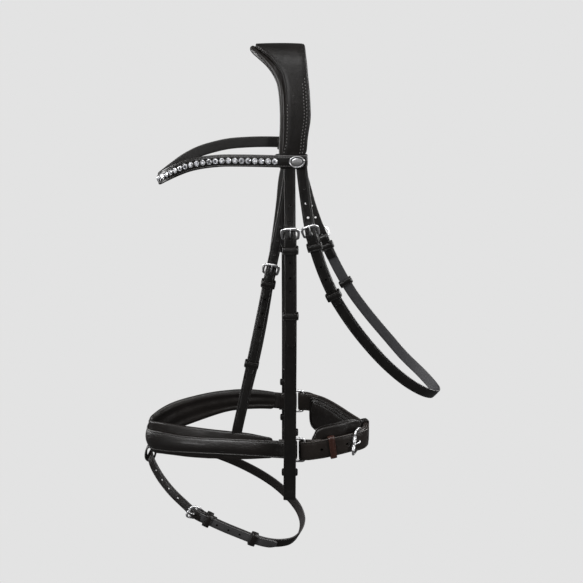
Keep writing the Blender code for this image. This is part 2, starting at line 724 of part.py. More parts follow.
def make_headpiece():
    places = crown_stations()
    pad = loft("headpiece_pad", CROWN, [(dist, pad_section(dist)) for dist in places])
    sheet("headpiece_cover", CROWN, [(dist, 1.75) for dist in places],
          lambda row, dist: crown_edges(COVER_FRONT, COVER_REAR, dist),
          thick=2.6, crown=(0.0, 0.5, 0.7, 0.5, 0.0))
    cut_sliphead_groove(pad)


def cut_sliphead_groove(pad):
    """The groove under the headpiece pad in which the sliphead lies."""
    crest = SLIP.where(Y, 0.0)
    rows = [(dist, -1.5) for dist in stations(SLIP, crest - 42, crest + 42, turn=8, longest=16)]
    tool = sheet("groove", SLIP, rows, NOSE_BILLET_W + 3.0, thick=6.8, mat=None)
    boolean(pad, as_cutter(tool), "cut")


# ---------------------------------------------------------------- browband
BROW_LOOP_X, BROW_LOOP_Y = 2.6, 68.2
BROW_LOOP_TOP, BROW_LOOP_BOTTOM = -105.0, -119.0
CRYSTAL_PITCH, CRYSTAL_PITCHES = 7.45, 48
CRYSTAL_HALF_WIDTHS = (3.1, 1.3)  # at a crystal, between two crystals
CONCHO_AT = (8.6, 79.3, -112.0)
CONCHO_SIZE = (9.0, 6.5, 2.6)  # half width, half height, depth
CONCHO_FACE = 0.72  # outer face, as a share of the base


def brow_width(row, dist):
    from_middle = min(dist, BROW.length - dist) / (BROW.length / 2)
    reach = BROW_W / 2 - 0.2 + 0.3 * from_middle * from_middle
    return -reach, reach


def make_brow_strap(tilt):
    """The strap, joined with a loop round the headpiece at each end."""
    rows = lay(BROW, [(0, 0), (BROW.length, 0)], turn=8, longest=30)
    strap = sheet("browband_strap", BROW, rows, brow_width, tilt)
    for hand, sign in HANDS:
        line = Rail([(BROW_LOOP_X, sign * BROW_LOOP_Y, z, -sign, 0, 0)
                     for z in (BROW_LOOP_TOP, BROW_LOOP_BOTTOM)])
        loop = sleeve("browband_loop_" + hand, line, (BROW_LOOP_TOP - BROW_LOOP_BOTTOM) / 2,
                      16.2, (-6.4, 5.9), tilt, length=12.6, thick=1.6, corner=2.4)
        boolean(strap, as_cutter(loop), "loop_" + hand, "UNION")


def crystal_width(row, dist):
    reach = CRYSTAL_HALF_WIDTHS[row % 2]
    return -reach, reach


def make_crystal_chain(tilt):
    rows = [(BROW.length / 2 + i * CRYSTAL_PITCH / 2, 2.3)
            for i in range(-CRYSTAL_PITCHES, CRYSTAL_PITCHES + 1)]
    sheet("browband_crystal_chain", BROW, rows, crystal_width, tilt, thick=1.6, mat=CRYSTAL)


def make_concho(hand, sign, tilt):
    """An oval steel boss on the outer side of the browband's end."""
    bm = bmesh.new()
    bmesh.ops.create_cone(
        bm, cap_ends=True, segments=20, radius1=MM, radius2=CONCHO_FACE * MM, depth=MM)
    name = "browband_concho_" + hand
    mesh = to_mesh(name, bm)
    mesh.transform(Matrix.Diagonal((*CONCHO_SIZE, 1.0)))
    concho = keep(name, mesh, STEEL)
    x, y, z = CONCHO_AT
    concho.rotation_euler = (math.radians(-90 * sign), 0, 0)
    concho.location = Vector((x, sign * y, z)) * MM
    bpy.context.view_layer.update()
    attach(concho, tilt)


def make_browband():
    tilt = make_pivot("browband_tilt", BROW_AXIS, (0, 1, 0))
    make_brow_strap(tilt)
    make_crystal_chain(tilt)
    for hand, sign in HANDS:
        make_concho(hand, sign, tilt)


# ---------------------------------------------------------------- cheekpieces
CHEEK_BUCKLE = 78.6  # pivot bar, below the top of the billet
CHEEK_TIP = 209.0
CHEEK_RUNNER = {"near": 170.5, "off": 131.0}
CHEEK_HOLES = [  # distance from the pivot bar, lift
    (-21.0, 2.0), (-38.4, 0.5), (27.0, BILLET_LIFT), (45.0, BILLET_LIFT), (61.5, BILLET_LIFT)]
BIT_TAIL_LIFT = -3.7  # the inner layer above the bit loop
BIT_LOOP = [  # distance from the rail's lower end, lift
    (-26, LAYER / 2), (-16, 1.6), (-9.5, 2.6), (-4.2, 2.9), (-0.6, 0.6), (0.4, -3.4),
    (-1.6, -7.6), (-6.5, -9.6), (-13, -8.8), (-21, -5.6), (-28, -3.9),
    (-32, BIT_TAIL_LIFT), (-112, BIT_TAIL_LIFT)]
STUD_ABOVE_END = 72
BIT_KEEPERS = (("upper", 91.5), ("lower", 36.5))  # distance above the rail's lower end
STUD_PROFILE = [  # radius, lift
    (0.0, -0.1), (2.4, -0.1), (2.4, -1.2), (1.7, -1.8), (1.7, -5.1),
    (3.2, -5.3), (3.4, -6.1), (2.4, -6.9), (0.0, -7.2)]


def cheek_width(row, dist):
    """Widens by 1 mm down the strap."""
    reach = (CHEEK_W + 1.0 * min(1.0, max(0.0, (dist - 250.0) / 120.0))) / 2
    return -reach, reach


def make_cheek_billet(hand, rail, swing):
    rows = with_tip(billet_rows(rail, 0.0, CHEEK_BUCKLE, CHEEK_TIP), CHEEK_TIP)
    name = "cheek_billet_" + hand
    billet = sheet(name, rail, rows, taper(CHEEK_BILLET_W / 2, CHEEK_TIP), swing)
    holes = holes_at(CHEEK_BUCKLE, CHEEK_HOLES, CHEEK_HOLE_R) + prong_hole(CHEEK_BUCKLE)
    punch(billet, rail, holes, name)


def make_cheek_strap(hand, rail, swing):
    """The buckle end, the strap and the loop for the bit, turned up on the inner side."""
    end = rail.length
    bit = shifted(end, BIT_LOOP)
    straight = lay(rail, [(CHEEK_BUCKLE + 14, LAYER / 2), bit[0]])[1:-1]
    rows = chape(CHEEK_BUCKLE, 32.0) + straight + bit
    strap = sheet("cheekpiece_" + hand, rail, rows, cheek_width, swing)
    slot(strap, rail, CHEEK_BUCKLE, "cheek_" + hand)
    stud_hole = holes_at(end, [(-STUD_ABOVE_END, BIT_TAIL_LIFT)], radius=2.3)
    punch(strap, rail, stud_hole, "stud_" + hand)


def make_hook_stud(hand, rail, swing):
    """A turned pin with a domed head on the inner side."""
    point, _, across, outward = rail.at(rail.length - STUD_ABOVE_END)
    world = axes_at(point, across, outward.cross(across), outward)
    turned_part("hook_stud_" + hand, STUD_PROFILE, world, swing, steps=12)


def make_cheekpiece(hand, sign):
    rail = CHEEK[hand]
    swing = make_pivot("cheek_swing_" + hand, (0, sign * 72.4, SWING_Z), (sign, 0, 0))
    make_cheek_billet(hand, rail, swing)
    make_cheek_strap(hand, rail, swing)
    buckle("cheek_{}_" + hand, rail, CHEEK_BUCKLE, CHEEK_W, swing)
    half = CHEEK_W / 2 + 0.6
    sleeve("cheek_keeper_" + hand, rail, CHEEK_BUCKLE + 13.0, half, (-3.6, 6.8), swing)
    runner("cheek_runner_" + hand, rail, CHEEK_RUNNER[hand], half, (-0.6, 5.9), swing)
    for level, above_end in BIT_KEEPERS:
        sleeve(f"bit_keeper_{level}_{hand}", rail, rail.length - above_end, half + 0.7,
               (-5.25, -2.15), swing)
    make_hook_stud(hand, rail, swing)


# ---------------------------------------------------------------- throatlash
# On each side distances run down from that side's top.
THROAT_RAIL = {"near": THROAT, "off": THROAT.reverse()}
THROAT_BUCKLE = {"near": 75.5, "off": 119.0}
THROAT_TIP = {"near": 165.0, "off": 197.0}
THROAT_RUNNER = {"near": 152.0, "off": 188.0}
THROAT_HOLES = {  # distance from the pivot bar, lift
    "near": [(-54.5, 0.0), (-37.5, 0.4), (-21.5, 1.9),
             (38, BILLET_LIFT), (54, BILLET_LIFT), (70, BILLET_LIFT)],
    "off": [(-62, 0.0), (-45, 0.0), (-28.5, 1.2), (38, BILLET_LIFT), (54, BILLET_LIFT)]}


def make_throat_billet(hand, swing):
    """One side's billet with its buckle, keeper and runner."""
    rail, bar, tip = THROAT_RAIL[hand], THROAT_BUCKLE[hand], THROAT_TIP[hand]
    name = "throat_billet_" + hand
    rows = with_tip(billet_rows(rail, 2.2, bar, tip), tip)
    billet = sheet(name, rail, rows, taper(THROAT_BILLET_W / 2, tip), swing)
    punch(billet, rail, holes_at(bar, THROAT_HOLES[hand]) + prong_hole(bar), name)
    buckle("throat_{}_" + hand, rail, bar, THROAT_W, swing)
    half = THROAT_W / 2 + 0.6
    sleeve("throat_keeper_" + hand, rail, bar + 13.0, half, (-3.7, 6.8), swing)
    runner("throat_runner_" + hand, rail, THROAT_RUNNER[hand], half + 0.3, (-0.9, 6.4), swing)


def make_throat_strap(swing):
    """The strap between the two buckles."""
    near, off, length = THROAT_BUCKLE["near"], THROAT_BUCKLE["off"], THROAT.length
    middle = [(near + 14, LAYER / 2), (length - off - 14, LAYER / 2)]
    rows = chape(near, 30.0) + lay(THROAT, middle, turn=8)[1:-1]
    rows += [(length - dist, lift) for dist, lift in chape(off, 30.0)[::-1]]
    strap = sheet("throatlash", THROAT, rows, THROAT_W, swing)
    for hand, _ in HANDS:
        slot(strap, THROAT_RAIL[hand], THROAT_BUCKLE[hand], "throat_" + hand)


def make_throatlash():
    swing = make_pivot("throat_swing", THROAT_AXIS, (0, -1, 0))
    for hand, _ in HANDS:
        make_throat_billet(hand, swing)
    make_throat_strap(swing)


# ---------------------------------------------------------------- sliphead and near hanger
SLIP_BUCKLE = SLIP.where(Z, -245.5, SLIP.length / 2)  # pivot bar, near side
SLIP_TIP, SLIP_RUNNER = SLIP_BUCKLE + 129.0, SLIP_BUCKLE + 117.0
SLIP_HOLES = [  # distance from the pivot bar, lift
    (-24, 1.6), (-41, 0.2), (-58, 0.0), (31, BILLET_LIFT), (49, BILLET_LIFT), (67, BILLET_LIFT)]


def make_sliphead(swing):
    bar = SLIP_BUCKLE
    rows = lay(SLIP, [(4.0, 0.0), (bar - 44, 0.0)], turn=8) + shifted(bar, BILLET_OVER[1:])
    rows = with_tip(rows + tail_rows(SLIP, bar, SLIP_TIP), SLIP_TIP)
    width = taper(NOSE_BILLET_W / 2, SLIP_TIP)
    sliphead = sheet("noseband_sliphead", SLIP, rows, width, swing)
    punch(sliphead, SLIP, holes_at(bar, SLIP_HOLES) + prong_hole(bar), "sliphead")


def make_hanger(swing):
    """The near strap from the sliphead buckle down into the noseband."""
    bar, end = SLIP_BUCKLE, SLIP.length
    hang = [(bar + 14, LAYER / 2), (end - 40, LAYER / 2), (end - 28, 0.0), (end - 4, 0.0)]
    rows = chape(bar, 30.0) + lay(SLIP, hang)[1:]
    hanger = sheet("noseband_hanger_near", SLIP, rows, NOSE_W, swing)
    slot(hanger, SLIP, bar, "hanger_near")
    buckle("nose_{}", SLIP, bar, NOSE_W, swing)
    sleeve("nose_keeper", SLIP, bar + 12.6, NOSE_W / 2 + 0.5, (-3.6, 6.8), swing)
    runner("nose_runner", SLIP, SLIP_RUNNER, NOSE_W / 2 + 0.7, (-0.6, 6.0), swing)


# ---------------------------------------------------------------- noseband
NOSE_END = NOSE.length
NOSE_LEATHER_T = 2.6
RING_FOLD_R = RING_R + 0.35 + NOSE_LEATHER_T / 2  # 0.35 of play round the ring's wire
NOSE_STATIONS = stations(NOSE, 27.0, NOSE_END - 27.0, turn=8, longest=24)

# (distance from the nearer end, value)
LEATHER_HALF_WIDTH = [
    (0, 12.2), (60, 11.8), (105, 11.6), (145, 12.3), (175, 13.9), (NOSE_END, 14.6)]
LINING_UP_NEAR = [
    (0, 13.4), (27, 14.5), (60, 18.6), (100, 21.0), (140, 23.5), (180, 25.0), (NOSE_END, 24.2)]
LINING_DOWN_NEAR = [
    (0, 13.4), (27, 14.5), (60, 18.4), (100, 20.6), (140, 21.0), (172, 20.2), (NOSE_END, 18.4)]
LINING_UP_OFF = [
    (0, 12.6), (27, 13.4), (60, 15.8), (100, 17.6), (140, 19.0), (180, 22.0), (NOSE_END, 24.2)]
LINING_DOWN_OFF = [
    (0, 12.2), (27, 12.8), (60, 14.0), (90, 15.5), (120, 18.5), (150, 20.2), (172, 19.6),
    (NOSE_END, 18.4)]
LINING_FULLNESS = [  # share of the full depth
    (0, 0.35), (27, 0.5), (60, 1.0), (NOSE_END / 2 - 36, 1.0), (NOSE_END / 2 - 14, 0.66),
    (NOSE_END, 0.66)]
LINING_TOP = -1.95  # lift of the face against the leather


def leather_width(row, dist):
    reach = table(LEATHER_HALF_WIDTH, min(dist, NOSE_END - dist))
    return -reach, reach


def nose_fold(bar, direction):
    """From the inner end, round a ring's front bar, to the outer layer.
    Direction 1 opens towards larger dist."""
    inner = [(20, -3.4), (8, -3.5), (3.4, -3.1)]
    outer = [(3.4, 2.9), (9, 1.0), (20, 0.0)]
    return (shifted(bar, inner, direction) + fold(bar, direction, RING_FOLD_R)
            + shifted(bar, outer, direction))


def make_nose_leather(swing):
    """The leather; its ends go round the rings' front bars and back inside."""
    rows = nose_fold(0.0, 1.0) + [(dist, 0.0) for dist in NOSE_STATIONS]
    rows += nose_fold(NOSE_END, -1.0)[::-1]
    sheet("noseband_leather", NOSE, rows, leather_width, swing, thick=NOSE_LEATHER_T)


def lining_section(dist):
    from_end = min(dist, NOSE_END - dist)
    near = dist > NOSE_END / 2
    up = table(LINING_UP_NEAR if near else LINING_UP_OFF, from_end)
    down = table(LINING_DOWN_NEAR if near else LINING_DOWN_OFF, from_end)
    fullness = table(LINING_FULLNESS, from_end)
    outline = [
        (3.5 - down, LINING_TOP), (up - 3.5, LINING_TOP), (up - 0.8, -2.7), (up, -4.9),
        (up - 1.6, -7.6), (up - 5.5, -9.2), (up * 0.4, -7.4), (0, -8.8), (-down * 0.4, -7.4),
        (5.5 - down, -9.2), (1.6 - down, -7.6), (-down, -4.9), (0.8 - down, -2.7)]
    return [(aside, LINING_TOP + (lift - LINING_TOP) * fullness) for aside, lift in outline]


def make_lining(swing):
    """The padded lining, with pockets for the near hanger and the sliphead's off end."""
    sections = [(dist, lining_section(dist)) for dist in NOSE_STATIONS]
    lining = loft("noseband_lining", NOSE, sections, SOFT, swing)
    end = SLIP.length
    for hand, start, stop, width in (
            ("near", end - 44, end + 3, NOSE_W), ("off", -3.0, 44.0, NOSE_BILLET_W)):
        name = "pocket_" + hand
        rows = lay(SLIP, [(start, 0.0), (stop, 0.0)])
        tool = sheet(name, SLIP, rows, width + 1.4, thick=STRAP_T + 1.2, mat=None)
        boolean(lining, as_cutter(tool), name)
    return lining


def make_ring(hand, rear_bar, swing):
    """A rectangular wire ring with rounded corners."""
    front = RING_FRONT_X
    rear, y, z = rear_bar
    low, high = z - RING_HALF_HEIGHT, z + RING_HALF_HEIGHT
    outline = [
        (front, low + 2), (front, high - 2), (front + 0.6, high - 0.6), (front + 2, high),
        (rear - 2, high), (rear - 0.6, high - 0.6), (rear, high - 2), (rear, low + 2),
        (rear - 0.6, low + 0.6), (rear - 2, low), (front + 2, low), (front + 0.6, low + 0.6)]
    points = [(ring_x, y, ring_z) for ring_x, ring_z in outline]
    wire("noseband_ring_" + hand, points, RING_R, swing, closed=True)


# ---------------------------------------------------------------- flash loop
TAB_W, TAB_T = 11.0, 2.2
TAB = Rail(with_width([
    (-181.2, 0, -484.0), (-182.4, 0, -498.0), (-185.2, 0, -510.0), (-189.0, 0, -526.0)],
    (0, 1, 0)))
TAB_ROWS = [  # dist, lift
    (0.0, 1.3), (18.5, 1.3), (22.2, 3.8), (26.0, 5.9), (33.5, 6.2), (39.4, 4.2), (41.6, 0.0),
    (39.4, -4.2), (33.5, -6.2), (25.5, -6.0), (21.5, -4.2), (18.5, -1.3), (0.0, -1.3)]
TAB_CUT = [  # dist, depth below the rail, height above it
    (-9.0, 3.0, 3.0), (13.0, 3.0, 6.5), (17.5, 7.6, 8.2), (40.0, 7.6, 9.0)]


def make_flash_loop(lining, swing):
    """A folded tab rooted in the lining at the front, holding the flash strap."""
    sheet("flash_loop", TAB, TAB_ROWS, TAB_W, swing, thick=TAB_T)
    half = TAB_W / 2 + 0.7
    sections = [
        (dist, [(-half, -below), (half, -below), (half, above), (-half, above)])
        for dist, below, above in TAB_CUT]
    tool = loft("flash_root", TAB, sections, None)
    boolean(lining, as_cutter(tool), "flash_root")


def make_noseband():
    swing = make_pivot("noseband_swing", NOSE_AXIS, (0, 1, 0))
    make_sliphead(swing)
    make_hanger(swing)
    make_nose_leather(swing)
    lining = make_lining(swing)
    make_ring("near", RING_NEAR, swing)
    make_ring("off", RING_OFF, swing)
    make_flash_loop(lining, swing)
    return swing


# ---------------------------------------------------------------- flash strap
# The strap goes once round the closed rail, then on over its own buckle.
FLASH_LAP = FLASH.length
FLASH_BUCKLE = FLASH.where(X, -121.0, 20.0)
FLASH_OVER = FLASH_LAP + FLASH_BUCKLE  # the buckle, met the second time round
FLASH_TIP = FLASH_LAP + FLASH_BUCKLE + 114.0
FLASH_RUNNER = FLASH_BUCKLE + 81.0
FLASH_HOLES = [  # distance from the pivot bar, lift
    (-33.0, 1.0), (-50.0, 0.7), (-64.5, 0.4), (-79.5, 0.2),
    (29.0, BILLET_LIFT), (45.5, BILLET_LIFT), (61.5, BILLET_LIFT)]
FLASH_HOLE_SHORTENING = 0.98  # along the strap


def flash_width(row, dist):
    full = FLASH_W / 2 - (0.4 if dist > FLASH_LAP else 0.0)
    reach = full * tip_share(dist, FLASH_TIP, blunt=0.5)
    return -reach, reach


def make_flash_strap(swing):
    lap = [
        (FLASH_BUCKLE + 14, LAYER / 2), (FLASH_LAP - 12, LAYER / 2), (FLASH_LAP, 0.0),
        (FLASH_LAP + 12, 0.0), (FLASH_OVER - 26, 1.4), (FLASH_OVER - 14, 2.9)]
    rows = chape(FLASH_BUCKLE, 26.0) + lay(FLASH, lap, turn=8)[1:]
    rows += shifted(FLASH_OVER, BILLET_OVER[3:]) + tail_rows(FLASH, FLASH_OVER, FLASH_TIP)
    strap = sheet("flash_strap", FLASH, with_tip(rows, FLASH_TIP), flash_width, swing,
                  thick=FLASH_T)
    slot(strap, FLASH, FLASH_BUCKLE, "flash", depth=8.4, lift=-0.4)
    holes = holes_at(FLASH_OVER, FLASH_HOLES) + prong_hole(FLASH_OVER)
    holes = [(dist, lift, radius_across, radius_along * FLASH_HOLE_SHORTENING)
             for dist, lift, radius_across, radius_along in holes]
    punch(strap, FLASH, holes, "flash")


def make_flash(nose_swing):
    swing = make_pivot("flash_swing", FLASH_AXIS, (0, 1, 0), nose_swing)
    make_flash_strap(swing)
    buckle("flash_{}", FLASH, FLASH_BUCKLE, FLASH_W, swing)
    sleeve("flash_keeper", FLASH, FLASH_BUCKLE + 15.5, FLASH_W / 2 + 0.7, (-3.9, 6.9), swing,
           length=9.0)
    runner("flash_runner", FLASH, FLASH_RUNNER, FLASH_W / 2 + 0.9, (-0.9, 6.4), swing,
           length=9.0)


# ---------------------------------------------------------------- jaw straps and crank buckle
JAW_END = JAW.length
JAW_BUCKLE = JAW.where(X, 87.0)  # pivot bar, near side of the back of the jaw
JAW_TIP = JAW_BUCKLE + 47.0
JAW_TIP_LENGTH = 6.0
CRANK_DEPTH = 16.5  # from the pivot bar to the roller
RING_LOOP_R = 3.4  # fold round a ring's rear bar, with room for the bar to tilt
ROLLER_BORE, ROLLER_R, ROLLER_HALF = 1.55, 2.45, 9.2
WAIST_R = ROLLER_BORE + 0.22
# radius, z: waisted in the middle to clear the prong
ROLLER_PROFILE = [
    (ROLLER_BORE, ROLLER_HALF), (ROLLER_R, ROLLER_HALF), (ROLLER_R, 2.4), (WAIST_R, 2.0),
    (WAIST_R, -2.0), (ROLLER_R, -2.4), (ROLLER_R, -ROLLER_HALF), (ROLLER_BORE, -ROLLER_HALF)]


def ring_end(bar, direction):
    """A strap end round a ring's rear bar; the strap runs towards direction."""
    inner = [(24, -2.75), (10, -2.9), (5, -RING_LOOP_R)]
    outer = [(5, RING_LOOP_R), (10, 1.8), (18, 0.0)]
    return (shifted(bar, inner, direction)
            + fold(bar - direction * 2.6, direction, RING_LOOP_R)
            + shifted(bar, outer, direction))


def make_jaw_billet(tilt):
    bar = JAW_BUCKLE
    rows = ring_end(0.0, 1.0) + lay(JAW, [(18, 0.0), (bar - 40, 0.0)], turn=8)[1:]
    rows += shifted(bar, [(-26, 1.2), (-CRANK_DEPTH, 2.2), (-8, 4.3)] + BILLET_OVER[4:])
    rows = with_tip(rows + tail_rows(JAW, bar, JAW_TIP), JAW_TIP, JAW_TIP_LENGTH)
    width = taper(JAW_W / 2 - 0.4, JAW_TIP, JAW_TIP_LENGTH, blunt=0.72)
    billet = sheet("jaw_billet_near", JAW, rows, width, tilt)
    holes = holes_at(0.0, [(22.0, 0.0), (39.0, 0.0)], JAW_HOLE_R)
    holes += holes_at(bar, [(-21, 1.8), (13.5, 4.5)], JAW_HOLE_R)
    punch(billet, JAW, holes + prong_hole(bar, JAW_HOLE_R, 3.4), "jaw_billet")


def make_jaw_strap(tilt):
    knots = [(JAW_BUCKLE + 14, LAYER / 2), (JAW_END - 30, LAYER / 2), (JAW_END - 18, 0.0)]
    rows = chape(JAW_BUCKLE, 30.0) + lay(JAW, knots, turn=8)[1:-1]
    rows += ring_end(JAW_END, -1.0)[::-1]
    strap = sheet("jaw_strap_off", JAW, rows, JAW_W - 0.9, tilt)
    slot(strap, JAW, JAW_BUCKLE, "jaw", width=3.8)


def make_crank_buckle(tilt):
    """A wide buckle with a roller on its far bar."""
    buckle("crank_{}", JAW, JAW_BUCKLE, JAW_W, tilt, depth=CRANK_DEPTH, flare=0.6,
           wire_radius=1.3, prong_rise=3.0)
    centre = buckle_space(JAW, JAW_BUCKLE)(0, CRANK_DEPTH, FRAME_LIFT)
    across = JAW.at(JAW_BUCKLE)[2]
    spin = make_pivot("crank_roller", centre, across, tilt)
    square = across.orthogonal().normalized()
    world = axes_at(centre, square, across.cross(square), across)
    turned_part("crank_roller", ROLLER_PROFILE, world, spin, steps=16, closed=True)


# ---------------------------------------------------------------- chin pad
# reach up and down against distance from the near end, then from the off end
CHIN_UP_NEAR = [
    (9, 9.0), (14, 17.0), (19.5, 24.0), (32, 26.0), (60, 25.0), (80, 22.0), (95, 16.0),
    (JAW_END, 13.4)]
CHIN_DOWN_NEAR = [
    (9, 8.0), (16, 12.4), (25, 14.0), (58, 14.0), (95, 13.2), (130, 14.0), (JAW_END, 15.0)]
CHIN_UP_OFF = [(13, 8.0), (22, 12.6), (32, 13.8), (50, 14.2), (80, 13.6), (JAW_END, 13.4)]
CHIN_DOWN_OFF = [
    (13, 16.0), (16, 26.0), (22, 33.0), (32, 36.0), (46, 36.0), (66, 30.0), (90, 20.0),
    (115, 15.6), (JAW_END, 15.0)]
# distance from the pad's nearer end, share of the full depth
CHIN_FULLNESS = [(0, 0.3), (7, 0.8), (18, 1.0), (JAW_END, 1.0)]
CHIN_TOP = -4.6  # lift of the face against the straps


def chin_section(dist):
    from_off = JAW_END - dist
    if dist < from_off:
        up, down = table(CHIN_UP_NEAR, dist), table(CHIN_DOWN_NEAR, dist)
    else:
        up, down = table(CHIN_UP_OFF, from_off), table(CHIN_DOWN_OFF, from_off)
    fullness = table(CHIN_FULLNESS, min(dist - 9, from_off - 13))
    outline = [
        (2.0 - down, CHIN_TOP), (up - 2.0, CHIN_TOP), (up - 0.4, -5.8), (up, -7.8),
        (up - 2.0, -11.0), (up * 0.5, -13.6), (-down * 0.5, -13.6), (2.0 - down, -11.0),
        (-down, -7.8), (0.4 - down, -5.8)]
    return [(aside, CHIN_TOP + (lift - CHIN_TOP) * fullness) for aside, lift in outline]


def make_chin_pad(tilt):
    """The pad inside the jaw straps, and the two keepers over it."""
    places = [9.5, 12.0, 16.0, 21.0]
    places += stations(JAW, 27.0, JAW_END - 31.0, turn=10, longest=16)
    places += [JAW_END - back for back in (25.0, 20.0, 16.0, 13.5)]
    loft("chin_pad", JAW, [(dist, chin_section(dist)) for dist in places], SOFT, tilt)
    half = JAW_W / 2 + 0.7
    sleeve("chin_keeper_near", JAW, 35.5, half, (-1.9, 2.3), tilt, mat=BROWN, corner=0.7)
    sleeve("chin_keeper_off", JAW, JAW_BUCKLE + 39.0, half, (-0.9, 6.4), tilt, corner=0.7)


def make_jaw(nose_swing):
    near, off = Vector(RING_NEAR), Vector(RING_OFF)
    tilt = make_pivot("jaw_tilt", (near + off) / 2, off - near, nose_swing)
    make_jaw_billet(tilt)
    make_jaw_strap(tilt)
    make_crank_buckle(tilt)
    make_chin_pad(tilt)


# ---------------------------------------------------------------- build
make_headpiece()
make_browband()
for hand, sign in HANDS:
    make_cheekpiece(hand, sign)
make_throatlash()
noseband_swing = make_noseband()
make_flash(noseband_swing)
make_jaw(noseband_swing)
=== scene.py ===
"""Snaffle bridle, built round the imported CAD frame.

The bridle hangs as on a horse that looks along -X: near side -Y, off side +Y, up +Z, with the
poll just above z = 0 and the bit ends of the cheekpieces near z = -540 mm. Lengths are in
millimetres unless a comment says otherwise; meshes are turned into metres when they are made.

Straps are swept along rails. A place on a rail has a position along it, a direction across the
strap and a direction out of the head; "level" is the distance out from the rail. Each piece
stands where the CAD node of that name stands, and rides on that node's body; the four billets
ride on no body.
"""

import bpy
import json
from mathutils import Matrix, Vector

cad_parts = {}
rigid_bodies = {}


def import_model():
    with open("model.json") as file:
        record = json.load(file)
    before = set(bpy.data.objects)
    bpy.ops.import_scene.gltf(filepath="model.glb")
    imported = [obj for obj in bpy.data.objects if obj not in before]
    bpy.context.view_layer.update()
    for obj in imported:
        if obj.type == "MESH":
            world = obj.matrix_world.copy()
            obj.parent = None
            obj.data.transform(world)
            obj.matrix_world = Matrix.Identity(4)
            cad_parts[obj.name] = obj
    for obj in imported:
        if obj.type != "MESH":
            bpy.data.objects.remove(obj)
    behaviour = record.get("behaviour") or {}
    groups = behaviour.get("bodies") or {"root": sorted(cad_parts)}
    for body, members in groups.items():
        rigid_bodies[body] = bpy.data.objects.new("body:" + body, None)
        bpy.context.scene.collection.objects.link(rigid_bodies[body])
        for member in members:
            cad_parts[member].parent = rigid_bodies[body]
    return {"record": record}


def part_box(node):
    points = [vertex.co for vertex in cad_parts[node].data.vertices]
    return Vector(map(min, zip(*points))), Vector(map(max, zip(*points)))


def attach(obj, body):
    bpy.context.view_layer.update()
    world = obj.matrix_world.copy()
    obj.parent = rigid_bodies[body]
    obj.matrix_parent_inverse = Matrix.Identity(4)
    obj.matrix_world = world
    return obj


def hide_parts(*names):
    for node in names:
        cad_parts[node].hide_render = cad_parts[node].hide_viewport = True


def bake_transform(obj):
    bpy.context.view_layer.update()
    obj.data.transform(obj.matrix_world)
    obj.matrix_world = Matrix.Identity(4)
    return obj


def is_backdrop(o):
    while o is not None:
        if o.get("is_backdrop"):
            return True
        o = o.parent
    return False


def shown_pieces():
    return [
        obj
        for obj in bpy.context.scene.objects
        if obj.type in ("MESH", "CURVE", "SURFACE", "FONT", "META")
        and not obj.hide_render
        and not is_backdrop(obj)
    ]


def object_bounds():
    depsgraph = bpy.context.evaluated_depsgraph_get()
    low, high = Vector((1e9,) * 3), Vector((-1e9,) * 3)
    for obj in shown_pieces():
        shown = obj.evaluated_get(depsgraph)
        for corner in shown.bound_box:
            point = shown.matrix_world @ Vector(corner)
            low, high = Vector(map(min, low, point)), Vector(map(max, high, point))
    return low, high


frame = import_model()

import copy
import json
import math
from bisect import bisect_right
from types import SimpleNamespace

import bmesh
import bpy
import numpy as np
from mathutils import Matrix, Vector
from mathutils.kdtree import KDTree

CAD_LOW, CAD_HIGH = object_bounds()
BODY = {node: body for body, nodes in frame["record"]["behaviour"]["bodies"].items()
        for node in nodes}
MILLI = 0.001
SIDES = {"near": -1, "off": 1}  # sign of y

# ---------------------------------------------------------------- shared dimensions
STRAP_THICK = 2.4  # one leather layer
LAYER = 2.7  # spacing of two layers that lie on each other
CHEEK_WIDTH, CHEEK_BILLET_WIDTH = 14.4, 12.6
THROAT_WIDTH, THROAT_BILLET_WIDTH = 13.6, 12.4
NOSE_WIDTH, NOSE_BILLET_WIDTH = 13.0, 12.0
FLASH_WIDTH, FLASH_THICK = 13.4, 2.2
JAW_WIDTH = 26.6
JAW_STRAP_WIDTH = JAW_WIDTH - 0.9
BROW_WIDTH = 14.0
COVER_THICK, COVER_LEVEL = 2.6, 1.75
NOSE_THICK = 2.6
RING_HALF_HEIGHT = 15.4  # to the centre of the wire
RING_RADIUS = 1.5
RING_FRONT_X = 5.5
BUCKLE_WIRE = 1.25  # radius
PRONG_RADIUS = 1.0
FOLD_RADIUS = 2.85  # middle of a fold round a buckle bar
HOLE_RADIUS, CHEEK_HOLE_RADIUS = 1.5, 1.6
KEEPER_THICK = 1.4
RING_NEAR = (18.6, -64.5, -474.5)  # middles of the rear bars of the two rings
RING_OFF = (18.6, 63.8, -469.0)
CREASE_INSET = 2.05  # from a strap's edge to its creased line and its stitches


# ---------------------------------------------------------------- materials
def shade(colour, factor, lift=0.0):
    return [channel * factor + lift for channel in colour]


